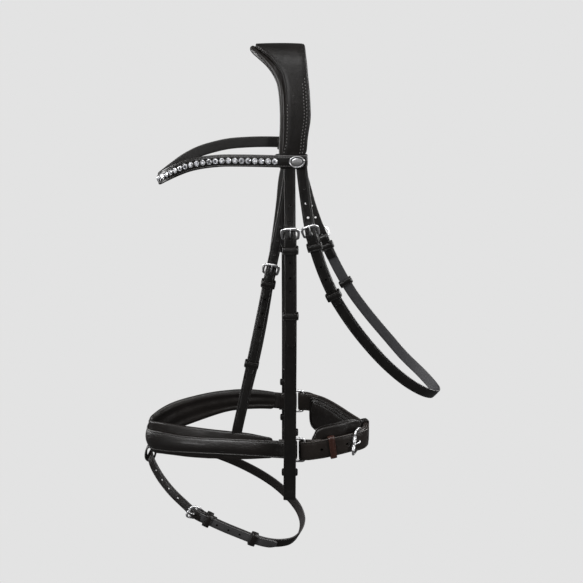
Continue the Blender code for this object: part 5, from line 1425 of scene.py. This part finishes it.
# ---------------------------------------------------------------- padded forms
def pad(name, rail, start, end, section, step, sub, round_end=2.4):
    """A soft form: smooth closed outlines along a rail, drawn in at both ends."""
    count = max(4, math.ceil((end - start) / step))
    stops = [start, start + round_end * 0.18, start + round_end * 0.5]
    stops += [start + round_end + (end - start - 2 * round_end) * i / count
              for i in range(count + 1)]
    stops += [end - round_end * 0.5, end - round_end * 0.18, end]
    rings = []
    for pos in stops:
        outline = np.array(section(pos), float)
        outline = catmull(outline, [sub] * len(outline), True)
        middle = outline.mean(0)
        near = min(pos - start, end - pos) / round_end
        scale = 1.0 if near >= 1 else 0.72 + 0.28 * math.sqrt(max(0.0, 1 - (1 - near) ** 2))
        outline = middle + (outline - middle) * scale
        point, _, across, out = (np.array(part) for part in rail.at(pos))
        rings.append(point + outline[:, :1] * across + outline[:, 1:] * out)
    verts, faces = skin(np.array(rings))
    return make(name, verts, faces, SOFT, angle=70)


CLOTH_VOXEL = 4.5
CLOTH_FRAMES = 20


def cloth_motion(twin, rest):
    """How far each vertex of twin moves as pressurised cloth, in metres."""
    scene = bpy.context.scene
    scene.frame_start, scene.frame_end = 1, CLOTH_FRAMES
    cloth = twin.modifiers.new("cloth", "CLOTH")
    settings = cloth.settings
    settings.quality = 5
    settings.mass = 0.3
    settings.tension_stiffness = settings.compression_stiffness = 20
    settings.shear_stiffness = 10
    settings.bending_stiffness = 1.5
    settings.use_pressure = True
    settings.uniform_pressure_force = 4.0
    settings.effector_weights.gravity = 0.0
    cloth.collision_settings.use_collision = False
    cloth.point_cache.frame_start, cloth.point_cache.frame_end = 1, CLOTH_FRAMES
    for frame_number in range(1, CLOTH_FRAMES + 1):
        scene.frame_set(frame_number)
    shown = twin.evaluated_get(bpy.context.evaluated_depsgraph_get())
    move = np.nan_to_num(points_of(shown.to_mesh()) - rest)
    shown.to_mesh_clear()
    twin.modifiers.clear()
    scene.frame_set(1)
    return move


def inflate(obj, cap):
    """Soft fill: a remeshed copy swells as cloth; its motion, capped at cap mm and evened out
    over neighbours, is carried over to the fine form, so that seams and edges keep shape."""
    twin = bpy.data.objects.new(obj.name + "_cloth", obj.data.copy())
    bpy.context.scene.collection.objects.link(twin)
    remesh = twin.modifiers.new("remesh", "REMESH")
    remesh.mode = "VOXEL"
    remesh.voxel_size = CLOTH_VOXEL * MILLI
    settle(twin)
    rest = points_of(twin.data)
    move = cloth_motion(twin, rest)
    far = np.linalg.norm(move, axis=1)
    move *= (np.minimum(far, cap * MILLI) / np.maximum(1e-9, far))[:, None]
    ends = np.empty(len(twin.data.edges) * 2, int)
    twin.data.edges.foreach_get("vertices", ends)
    first, second = ends.reshape(-1, 2).T
    degree = np.bincount(np.concatenate([first, second]), minlength=len(rest))
    degree = degree.astype(float)[:, None]
    for _ in range(3):
        total = np.zeros_like(move)
        np.add.at(total, first, move[second])
        np.add.at(total, second, move[first])
        move = 0.5 * move + 0.5 * total / np.maximum(1.0, degree)
    tree = KDTree(len(rest))
    for index, point in enumerate(rest):
        tree.insert(point, index)
    tree.balance()
    fine = points_of(obj.data)
    shift = np.zeros_like(fine)
    for index, point in enumerate(fine):
        near = tree.find_n(point, 6)
        weight = np.array([1.0 / (distance + 0.0006) for _, _, distance in near])
        moves = move[[found for _, found, _ in near]]
        shift[index] = (moves * weight[:, None]).sum(0) / weight.sum()
    obj.data.vertices.foreach_set("co", (fine + shift).ravel())
    obj.data.update()
    bpy.data.objects.remove(twin)
    sub = obj.modifiers.new("sub", "SUBSURF")
    sub.levels = sub.render_levels = 1
    settle(obj)


# ---------------------------------------------------------------- straps
for node, spec in SHEETS.items():
    made = strap(node + "_fine", spec.rail, spec.rows, spec.width, spec.thick, spec.material,
                 hump=spec.hump)
    anchor(made, node)
    drill(made, spec.rail, spec.holes, spec.slots)
    mount(made, node)


def build_flash_strap():
    """Two pieces that meet at the front; the billet's rear part gets a lighter copy of the leather
    as painted light.
    """
    first = strap("flash_strap_fine", FLASH, flash_start_rows, flash_width, FLASH_THICK,
                  FLASH_DARK)
    second = strap("flash_strap_billet", FLASH, flash_billet_rows, flash_billet_width,
                   FLASH_THICK, FLASH_DARK)
    second.data.materials.append(FLASH_PAINTED_LIGHT)
    # Faces behind the buckle bar take the painted light.
    beyond = float(FLASH.at(FLASH_BAR)[0][0]) * MILLI + 0.004
    for face in second.data.polygons:
        face.material_index = int(face.center[0] > beyond)
    drill(first, FLASH, [],
          [prong_slot(FLASH, FLASH_BAR, depth=8.4, level=-0.4)])
    drill(second, FLASH, billet_holes(FLASH_OVER, FLASH_HOLES, squash=0.98))
    for made in (first, second):
        mount(made, "flash_strap", replace=False)
    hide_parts("flash_strap")


build_flash_strap()

# The four billets, which run on up inside the headpiece; they ride on no body.
for node, spec in BILLETS.items():
    made = strap(node + "_fine", spec.rail, spec.rows, spec.width, STRAP_THICK, BLACK)
    drill(made, spec.rail, spec.holes)
    y = (-72.4 if node.endswith("near") else 72.4) * MILLI
    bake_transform(made)
    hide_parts(node)

# Keepers that are nodes of their own; the browband's loops are made with the browband.
for node, spec in KEEPERS.items():
    if node in BODY:
        place(keeper(node, spec), node)


# ---------------------------------------------------------------- metal
def prong_taper(frac):
    return 1.0 if frac < 0.55 else 1.0 - 0.30 * (frac - 0.55) / 0.45


def buckle_rod(node, spec):
    """Frame whose wire widens away from the pivot bar, and again at a plain far bar."""
    bar = (np.array(spec.points[0]) + np.array(spec.points[1])) / 2
    corner = (np.array(spec.points[6]) + np.array(spec.points[7])) / 2
    way = corner - bar
    reach = float(np.linalg.norm(way))
    way /= reach
    far_extra = 0.0 if "crank" in node else 0.42

    def wide(point):
        back = float(np.dot(point - bar, way))
        side = max(0.0, min(1.0, (back - 1.2) / 3.0))
        end = max(0.0, min(1.0, (back - reach + 2.5) / 2.5))
        return 1.0 + 0.22 * side + far_extra * end

    return rod(node + "_fine", spec.points, spec.radius, STEEL, True, wide=wide, segments=16)


for node, spec in WIRES.items():
    if spec.kind == "prong":
        made = rod(node + "_fine", spec.points, spec.radius * 1.02, STEEL, False, wide=1.12,
                   taper=prong_taper, step=0.8)
    elif spec.kind == "ring":
        made = rod(node + "_fine", spec.points, spec.radius, STEEL, True, wide=1.06, segments=18,
                   step=1.0, power=2.0)
    else:
        made = buckle_rod(node, spec)
    place(made, node)

# Hook studs: (radius, level), from the outer cap through the neck to the inner knob.
STUD_PROFILE = [(0.02, 0.35), (1.4, 0.32), (2.2, 0.1), (2.55, -0.35), (2.5, -0.9), (2.3, -1.2),
                (1.8, -1.6), (1.62, -2.4), (1.6, -4.6), (1.75, -5.05), (2.6, -5.25), (3.1, -5.5),
                (3.35, -5.9), (3.2, -6.4), (2.6, -6.85), (1.5, -7.12), (0.02, -7.2)]
for side in SIDES:
    point, _, _, out = CHEEK[side].at(CHEEK[side].length - STUD_BACK)
    verts, faces = skin(turned(STUD_PROFILE, point, out, segments=32))
    place(make("hook_stud_" + side + "_fine", verts, faces, STEEL, angle=40), "hook_stud_" + side)


def build_roller():
    """Tube on the crank buckle's far bar, with fine grooves on both sides of its middle."""
    bore, half = 1.55, 9.2
    profile = [(bore, -half), (2.3, -half), (2.45, -9.0)]
    for i in range(24):
        profile.append((2.42 + (0.06 if i % 2 else -0.06), -8.7 + 6.2 * i / 23))
    profile += [(2.3, -2.3), (bore + 0.3, -1.9), (bore + 0.3, 0.0)]
    profile += [(radius, -along) for radius, along in profile[-2::-1]]
    profile += [(bore, half - 0.01), (bore, 0.0)]
    centre = buckle_space(JAW, JAW_BAR)(0, ROLLER_BACK, ROLLER_LEVEL)
    points = turned(profile, centre, JAW.at(JAW_BAR)[2], segments=36)
    verts, faces = skin(points.transpose(1, 0, 2), loop=True)
    place(make("crank_roller_fine", verts, faces, SATIN, angle=30), "crank_roller")


build_roller()


# ---------------------------------------------------------------- conchos
def concho_height(frac, angle, depth):
    """Height of the face against the share of the radius and the angle."""
    rim = 0.75 * math.exp(-(((frac - 0.9) / 0.07) ** 2))
    bead = 0.22 * math.exp(-(((frac - 0.74) / 0.04) ** 2)) * (0.55 + 0.45 * math.cos(24 * angle))
    flute = 1.0 - 0.13 * (0.5 + 0.5 * math.cos(12 * angle)) * min(1.0, frac * 3)
    dome = 0.95 * max(0.0, 1 - (frac / 0.66) ** 2) ** 0.6 * flute
    drop = 0.55 * max(0.0, (frac - 0.93) / 0.07) ** 2
    return depth * 0.34 + rim + bead + dome - drop


def build_concho(node, sign):
    """An oval with a rolled rim, a beaded ring in a dark band, and a fluted dome."""
    low, high = (np.array(corner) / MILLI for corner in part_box(node))
    middle = (low + high) / 2
    long, half_depth, tall = (high - low) / 2
    parts, around = 26, 64
    angles = [math.tau * j / around for j in range(around)]

    def spot(frac, angle, height):
        return (middle[0] + long * frac * math.cos(angle), middle[1] + sign * height,
                middle[2] + tall * frac * math.sin(angle))

    rings = [[spot(i / parts, angle,
                   concho_height(i / parts, angle, 2 * half_depth) - half_depth)
              for angle in angles] for i in range(parts + 1)]
    rings.append([spot(1.0, angle, -half_depth) for angle in angles])
    verts, faces = skin(np.array(rings))
    made = make(node + "_fine", verts, faces, SATIN, angle=50)
    made.data.materials.append(DARKSTEEL)
    for face in made.data.polygons:
        reach = math.hypot((face.center[0] / MILLI - middle[0]) / long,
                           (face.center[2] / MILLI - middle[2]) / tall)
        if 0.62 < reach < 0.83 and abs(face.normal[1]) > 0.2:
            face.material_index = 1
    place(made, node)


for side, sign in SIDES.items():
    build_concho("browband_concho_" + side, sign)

# ---------------------------------------------------------------- crystals in their cups
STONE_COUNT, STONE_PITCH = 49, 7.45
STONE_LEVEL = 1.45
# Rings of a stone: (radius, height, points, phase in points)
STONE_RINGS = [(2.72, 0.55, 16, 0.0), (2.66, 0.85, 16, 0.0), (2.18, 1.28, 8, 0.5),
               (1.42, 1.72, 8, 0.0)]
CUP_SECTION = [(2.35, -0.15), (3.0, -0.15), (3.22, 0.2), (3.25, 0.75), (3.12, 1.0), (2.86, 1.02),
               (2.74, 0.75), (2.7, 0.3)]  # (radius, height)
CUP_SEGMENTS = 20


def stone_faces(base):
    """Base, girdle, two rows of facets and the flat table of one stone."""
    girdle, middle, top = base + 16, base + 32, base + 40
    faces = [tuple(base + j for j in range(16))[::-1]]
    for j in range(16):
        after = (j + 1) % 16
        faces.append((base + j, base + after, girdle + after, girdle + j))
    for j in range(8):
        first, second, third = (girdle + (2 * j + i) % 16 for i in range(3))
        before, after = (j - 1) % 8, (j + 1) % 8
        faces += [(first, second, middle + j), (second, third, middle + j),
                  (first, middle + j, middle + before),
                  (middle + j, middle + after, top + after),
                  (middle + before, middle + j, top + j)]
    return faces + [tuple(top + j for j in range(8))]


def build_crystals():
    stone_verts, all_faces, facets, cup_verts, cup_faces = [], [], [], [], []
    for k in range(STONE_COUNT):
        pos = BROW.length / 2 + (k - STONE_COUNT // 2) * STONE_PITCH
        point, along, across, out = (np.array(part) for part in BROW.at(pos))

        def spot(radius, height, angle):
            return (point + along * (radius * math.cos(angle))
                    + across * (radius * math.sin(angle)) + out * (STONE_LEVEL + height))

        turn = 0.35 * math.sin(k * 1.7)
        faces = stone_faces(len(stone_verts))
        for radius, height, count, phase in STONE_RINGS:
            stone_verts += [spot(radius, height, math.tau * (j + phase) / count + turn)
                            for j in range(count)]
        all_faces += faces
        # A fixed pseudo-random value for each facet, which sets its painted sparkle and its
        # mirror.
        facets += [0.5 + 0.5 * math.sin(12.9898 * (i + 1) + 78.233 * k + 0.7 * i * k)
                   for i in range(len(faces))]
        base, size = len(cup_verts), len(CUP_SECTION)
        for j in range(CUP_SEGMENTS):
            claw = 0.32 if j % 5 == 0 else 0.0
            for radius, height in CUP_SECTION:
                inward = claw * 0.6 if height > 0.9 else 0.0
                lift = claw if height > 0.7 else 0.0
                cup_verts.append(spot(radius - inward, height + lift,
                                      math.tau * j / CUP_SEGMENTS))
            low, high = base + j * size, base + ((j + 1) % CUP_SEGMENTS) * size
            for i in range(size):
                after = (i + 1) % size
                cup_faces.append((low + i, low + after, high + after, high + i))
    stones = make("browband_crystals", stone_verts, all_faces, CRYSTAL, facets=facets, angle=None)
    for face in stones.data.polygons:
        face.use_smooth = False
    mount(stones, "browband_crystal_chain")
    cups = make("browband_stone_cups", cup_verts, cup_faces, SATIN, angle=45)
    mount(cups, "browband_crystal_chain", replace=False)


build_crystals()


# ---------------------------------------------------------------- browband
def brow_width(pos):
    """A little wider towards the middle of the forehead's sides and ends than given by 14 mm
    less its trim: the half width grows with the square of the share from each end."""
    share = min(pos, BROW.length - pos) / (BROW.length / 2)
    half = BROW_WIDTH / 2 - 0.2 + 0.3 * share * share
    return -half, half


BROW_INSET = 1.9
brow_rows = lay(BROW, [(0, 0), (BROW.length, 0)], turn=8, longest=30)
mount(strap("browband_strap_fine", BROW, brow_rows, brow_width, STRAP_THICK, BLACK, crown=0.15,
            inset=BROW_INSET), "browband_strap")
for side in SIDES:
    node = "browband_loop_" + side
    mount(keeper(node, KEEPERS[node], bulge=0.3), "browband_strap", replace=False)


# ---------------------------------------------------------------- headpiece
def cover_hump(side, pos=0.0):
    """Domed middle, falling off at the rear edge."""
    return (0.7 * (1 - min(1.0, abs(side)) ** 2.2)
            - 1.0 * max(0.0, (min(1.0, side) - 0.86) / 0.14) ** 2)


def head_pad_section(pos):
    """Outline (across, level): a stuffed roll with a soft front lobe."""
    front, rear = crown_edge(PAD_FRONT, pos), crown_edge(PAD_REAR, pos)
    return [(front + 3.2, 2.1), (front + 5.6, 1.0), (front + 9.0, -0.1), (rear - 8.0, -0.1),
            (rear - 3.0, 0.0), (rear - 0.9, -0.9), (rear, -3.2), (rear - 1.0, -5.9),
            (rear - 4.0, -7.3), ((front + rear) / 2, -7.6), (front + 12.0, -7.5),
            (front + 5.0, -6.0), (front + 1.0, -3.6), (front, -0.9), (front + 0.9, 1.2)]


cover_rows = [(CROWN_START + (CROWN_END - CROWN_START) * i / 120, COVER_LEVEL)
              for i in range(121)]
place(strap("headpiece_cover_fine", CROWN, cover_rows, cover_width, COVER_THICK, COVER,
            crown=0.0, groove=0.26, inset=2.3, edge=1.0, fine=3.0, hump=cover_hump),
      "headpiece_cover")

head_pad = pad("headpiece_pad_fine", CROWN, CROWN_START, CROWN_END, head_pad_section, step=3.2,
               sub=3)
inflate(head_pad, cap=1.3)
poll = SLIP.where(1, 0.0)
groove_rows = [(float(pos), -1.5) for pos in np.linspace(poll - 42, poll + 42, 40)]
carve(head_pad, strap("groove_tool", SLIP, groove_rows, NOSE_BILLET_WIDTH + 3.0, 6.8, SOFT,
                      crown=0, groove=0, ends=False))
place(head_pad, "headpiece_pad")

# Piping along both edges of the cover
for label, edge, inset in (("front", COVER_FRONT, 0.35), ("rear", COVER_REAR, -0.35)):
    line = []
    for pos in np.linspace(1.5, CROWN.length - 1.5, 190):
        point, _, across, out = CROWN.at(float(pos))
        line.append(point + across * (crown_edge(edge, float(pos)) + inset) + out * 0.35)
    trim(rod("headpiece_piping_" + label, line, 0.72, SOFT, False, segments=8, step=2.4,
             power=2.0), "headpiece_cover")


# ---------------------------------------------------------------- noseband
NOSE_INSET = 2.2


def nose_hump(side, pos):
    """Raised middle of the leather, flat at the stitched edges and at the ends."""
    reach = nose_end(pos)
    grow = min(1.0, max(0.0, (reach - 24.0) / 26.0))
    share = min(1.0, abs(side) / 0.74)
    return thinned(reach) + 2.3 * grow * grow * (3 - 2 * grow) * (1 - share * share) ** 0.8


place(strap("noseband_leather_fine", NOSE, NOSE_ROWS, nose_width, NOSE_THICK, PANEL, crown=0.2,
            groove=0.34, inset=NOSE_INSET, hump=nose_hump, coarse=3.2), "noseband_leather")
lining = pad("noseband_lining_fine", NOSE, NOSE_BODY_START, NOSE_BODY_END, lining_section,
             step=3.4, sub=3, round_end=4.0)
inflate(lining, cap=1.1)
place(lining, "noseband_lining")

# ---------------------------------------------------------------- chin pad
chin = pad("chin_pad_fine", JAW, 9.5, JAW.length - 13.5, chin_section, step=3.0, sub=4,
           round_end=6.0)
inflate(chin, cap=1.3)
place(chin, "chin_pad")

# Two rolled cords run round the jaw side of the pad: (label, inset, radius, share of depth)
for label, inset, radius, share in (("outer", 0.9, 1.25, 0.62), ("inner", 4.6, 0.95, 0.93)):
    start, end = 10.5 + inset, JAW.length - 14.5 - inset
    upper, lower = [], []
    for i in range(71):
        pos = start + (end - start) * i / 70
        up, down, fill = chin_reach(pos)
        level = CHIN_BACK + CHIN_DEEP * fill * share
        point, _, across, out = JAW.at(pos)
        upper.append(point + across * (up - inset) + out * level)
        lower.append(point + across * (inset - down) + out * level)
    trim(rod("chin_pad_cord_" + label, upper + lower[::-1], radius, SOFT, True, segments=10,
             step=2.2, power=2.0), "chin_pad")

# ---------------------------------------------------------------- stitching
ON_TOP = STRAP_THICK / 2 + 0.12  # level of thread over a strap's own level
ON_LAYER = LAYER / 2 + ON_TOP

for side, rail in CHEEK.items():
    half = CHEEK_WIDTH / 2 - CREASE_INSET
    places = both_edges(rail, CHEEK_BAR + 18.5, CHEEK_BAR + 32.0, half, ON_LAYER)
    places += both_edges(rail, CHEEK_BAR + 5.0, CHEEK_BAR + 8.8, half, 1.75 + ON_TOP + 0.6)
    sew("cheek_stitching_" + side, places, "cheekpiece_" + side)

for side, end in THROAT_ENDS.items():
    sew("throat_stitching_" + side,
        both_edges(end.rail, end.bar + 18.5, end.bar + 30.0, THROAT_WIDTH / 2 - CREASE_INSET,
                   ON_LAYER), "throatlash")

sew("hanger_stitching",
    both_edges(SLIP, SLIP_BAR + 18.0, SLIP_BAR + 30.0, NOSE_WIDTH / 2 - CREASE_INSET, ON_LAYER),
    "noseband_hanger_near")
sew("flash_stitching",
    both_edges(FLASH, FLASH_BAR + 21.0, FLASH_BAR + 38.0, FLASH_WIDTH / 2 - CREASE_INSET,
               LAYER / 2 + FLASH_THICK / 2 + 0.12), "flash_strap")


def edge_runs(rail, margin, width, inset, level, pitch):
    """A row inside each edge of a strap of changing width."""
    places = []
    for sign in (-1, 1):
        places += run_of(rail, margin, rail.length - margin,
                         lambda pos, sign=sign: sign * (width(pos)[1] - inset), level, pitch)
    return places


sew("noseband_stitching",
    edge_runs(NOSE, 14.0, nose_width, NOSE_INSET, NOSE_THICK / 2 + 0.02, pitch=3.3),
    "noseband_leather", THREAD_LIGHT, length=2.0, radius=0.42)
sew("browband_stitching",
    edge_runs(BROW, 12.0, brow_width, BROW_INSET, STRAP_THICK / 2 + 0.02, pitch=2.9),
    "browband_strap")


def cover_line(side, edge, inset, low, high):
    """A row on the cover, inset from its front (0) or rear (1) edge, between two distances
    up from the lower end."""

    def across(pos):
        return cover_width(pos)[edge] + inset

    def level(pos):
        front, rear = cover_width(pos)
        share = (across(pos) - (front + rear) / 2) / ((rear - front) / 2)
        return COVER_LEVEL + COVER_THICK / 2 + cover_hump(share) - 0.1

    if side == "near":
        low, high = CROWN.length - low, CROWN.length - high
    return run_of(CROWN, low, high, across, level, pitch=3.5)


for side in SIDES:
    places = cover_line(side, 0, 2.3, 2.0, 70.0)
    places += cover_line(side, 1, -3.9, 2.0, 98.0)
    places += cover_line(side, 1, -6.7, 2.0, 92.0)
    sew("headpiece_stitching_" + side, places, "headpiece_cover", THREAD_LIGHT, length=2.1,
        radius=0.5)

places = []
for sign in (-1, 1):
    inside = sign * (JAW_STRAP_WIDTH / 2 - CREASE_INSET)
    places += run_of(JAW, JAW_BAR + 20.0, JAW_BAR + 33.0, inside, ON_LAYER)
    places += run_of(JAW, JAW.length - 34.0, JAW.length - 20.0, inside, 0.6 + ON_TOP)
sew("jaw_stitching", places, "jaw_strap_off")

# ---------------------------------------------------------------- backdrop (metres from here on)
BACKGROUND = 0.768  # brightness of the backdrop and of the world as the camera sees it


def build_backdrop():
    """Round floor that curves up into a wall, seen only by the camera's direct rays."""
    floor = CAD_LOW[2] - 0.22
    flat, bend = 1.6, 0.9
    profile = [(flat, floor)]
    for degrees in range(10, 91, 10):
        angle = math.radians(degrees)
        profile.append((flat + bend * math.sin(angle), floor + bend - bend * math.cos(angle)))
    profile.append((flat + bend, floor + 3.6))
    shell = bmesh.new()
    around = 72
    rings = []
    for radius, z in profile:
        rings.append([shell.verts.new((radius * math.cos(math.tau * k / around),
                                       radius * math.sin(math.tau * k / around), z))
                      for k in range(around)])
    shell.faces.new(rings[0])
    for lower, upper in zip(rings, rings[1:]):
        for k in range(around):
            after = (k + 1) % around
            shell.faces.new((lower[k], lower[after], upper[after], upper[k]))
    mesh = bpy.data.meshes.new("backdrop")
    shell.to_mesh(mesh)
    shell.free()
    mesh.shade_smooth()
    paint = bpy.data.materials.new("backdrop_paint")
    paint.use_nodes = True
    inputs = paint.node_tree.nodes["Principled BSDF"].inputs
    inputs["Base Color"].default_value = (0.0, 0.0, 0.0, 1)
    inputs["Roughness"].default_value = 1.0
    inputs["Specular IOR Level"].default_value = 0.0
    inputs["Emission Color"].default_value = (1.0, 1.0, 1.0, 1)
    inputs["Emission Strength"].default_value = BACKGROUND
    mesh.materials.append(paint)
    cove = bpy.data.objects.new("backdrop", mesh)
    bpy.context.scene.collection.objects.link(cove)
    cove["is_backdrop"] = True
    cove.visible_glossy = cove.visible_diffuse = False


build_backdrop()

# ---------------------------------------------------------------- lights, world and camera
MIDDLE = (CAD_LOW + CAD_HIGH) / 2


def lamp(name, at, power, size, aim=MIDDLE):
    data = bpy.data.lights.new(name, "AREA")
    data.energy = power
    data.shape = "RECTANGLE"
    data.size, data.size_y = size
    obj = bpy.data.objects.new(name, data)
    obj.location = at
    obj.rotation_euler = (Vector(aim) - Vector(at)).to_track_quat("-Z", "Y").to_euler()
    bpy.context.scene.collection.objects.link(obj)
    return obj


lamp("key", at=(-1.1, -1.7, 1.2), power=40.0, size=(0.8, 1.0))
# The low lamp lights only the noseband and the flash strap.
low_lamp = lamp("low", at=(-1.25, -1.5, -0.62), power=4.0, size=(0.5, 0.35),
                aim=(-0.10, -0.05, -0.50))
lit = bpy.data.collections.new("lit_by_low")
for obj in list(bpy.context.scene.objects):
    if obj.type == "MESH" and ("noseband" in obj.name or "flash" in obj.name):
        lit.objects.link(obj)
low_lamp.light_linking.receiver_collection = lit
lamp("fill", at=(1.8, -1.1, 0.4), power=24.0, size=(0.45, 1.4))
lamp("top", at=(0.0, -0.3, 1.8), power=24.0, size=(1.4, 0.8))
lamp("rim_left", at=(-1.6, 0.7, 0.1), power=20.0, size=(0.4, 1.3))
lamp("rim_right", at=(1.4, 1.1, 0.3), power=20.0, size=(0.4, 1.3))

# The world is bright to the camera and dim as a light.
world = bpy.data.worlds.new("soft_room")
bpy.context.scene.world = world
world.use_nodes = True
tree = world.node_tree
back = tree.nodes["Background"]
light_path = tree.nodes.new("ShaderNodeLightPath")
strength = tree.nodes.new("ShaderNodeMapRange")
strength.inputs["To Min"].default_value = 0.07
strength.inputs["To Max"].default_value = BACKGROUND
tree.links.new(light_path.outputs["Is Camera Ray"], strength.inputs["Value"])
tree.links.new(strength.outputs[0], back.inputs[1])
back.inputs[0].default_value = (1, 1, 1, 1)

# The camera looks from the near side, down by CAMERA_TILT.
CAMERA_TILT = math.radians(18.0)
CAMERA_TARGET = Vector((0.0027, 0.0, -0.287))
CAMERA_DISTANCE = 1.017
camera_data = bpy.data.cameras.new("camera")
camera_data.lens, camera_data.sensor_width = 50.0, 36.0
camera = bpy.data.objects.new("camera", camera_data)
toward_camera = Vector((0.0, -math.cos(CAMERA_TILT), math.sin(CAMERA_TILT)))
camera.location = CAMERA_TARGET + toward_camera * CAMERA_DISTANCE
camera.rotation_euler = (math.radians(90) - CAMERA_TILT, 0.0, 0.0)
bpy.context.scene.collection.objects.link(camera)
bpy.context.scene.camera = camera
bpy.context.scene.view_settings.view_transform = "Standard"
bpy.context.scene.view_settings.look = "None"

# ---------------------------------------------------------------- size of what was built
low, high = [1e9] * 3, [-1e9] * 3
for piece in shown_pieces():
    for vert in piece.data.vertices:
        point = piece.matrix_world @ vert.co
        for k in range(3):
            low[k], high[k] = min(low[k], point[k]), max(high[k], point[k])
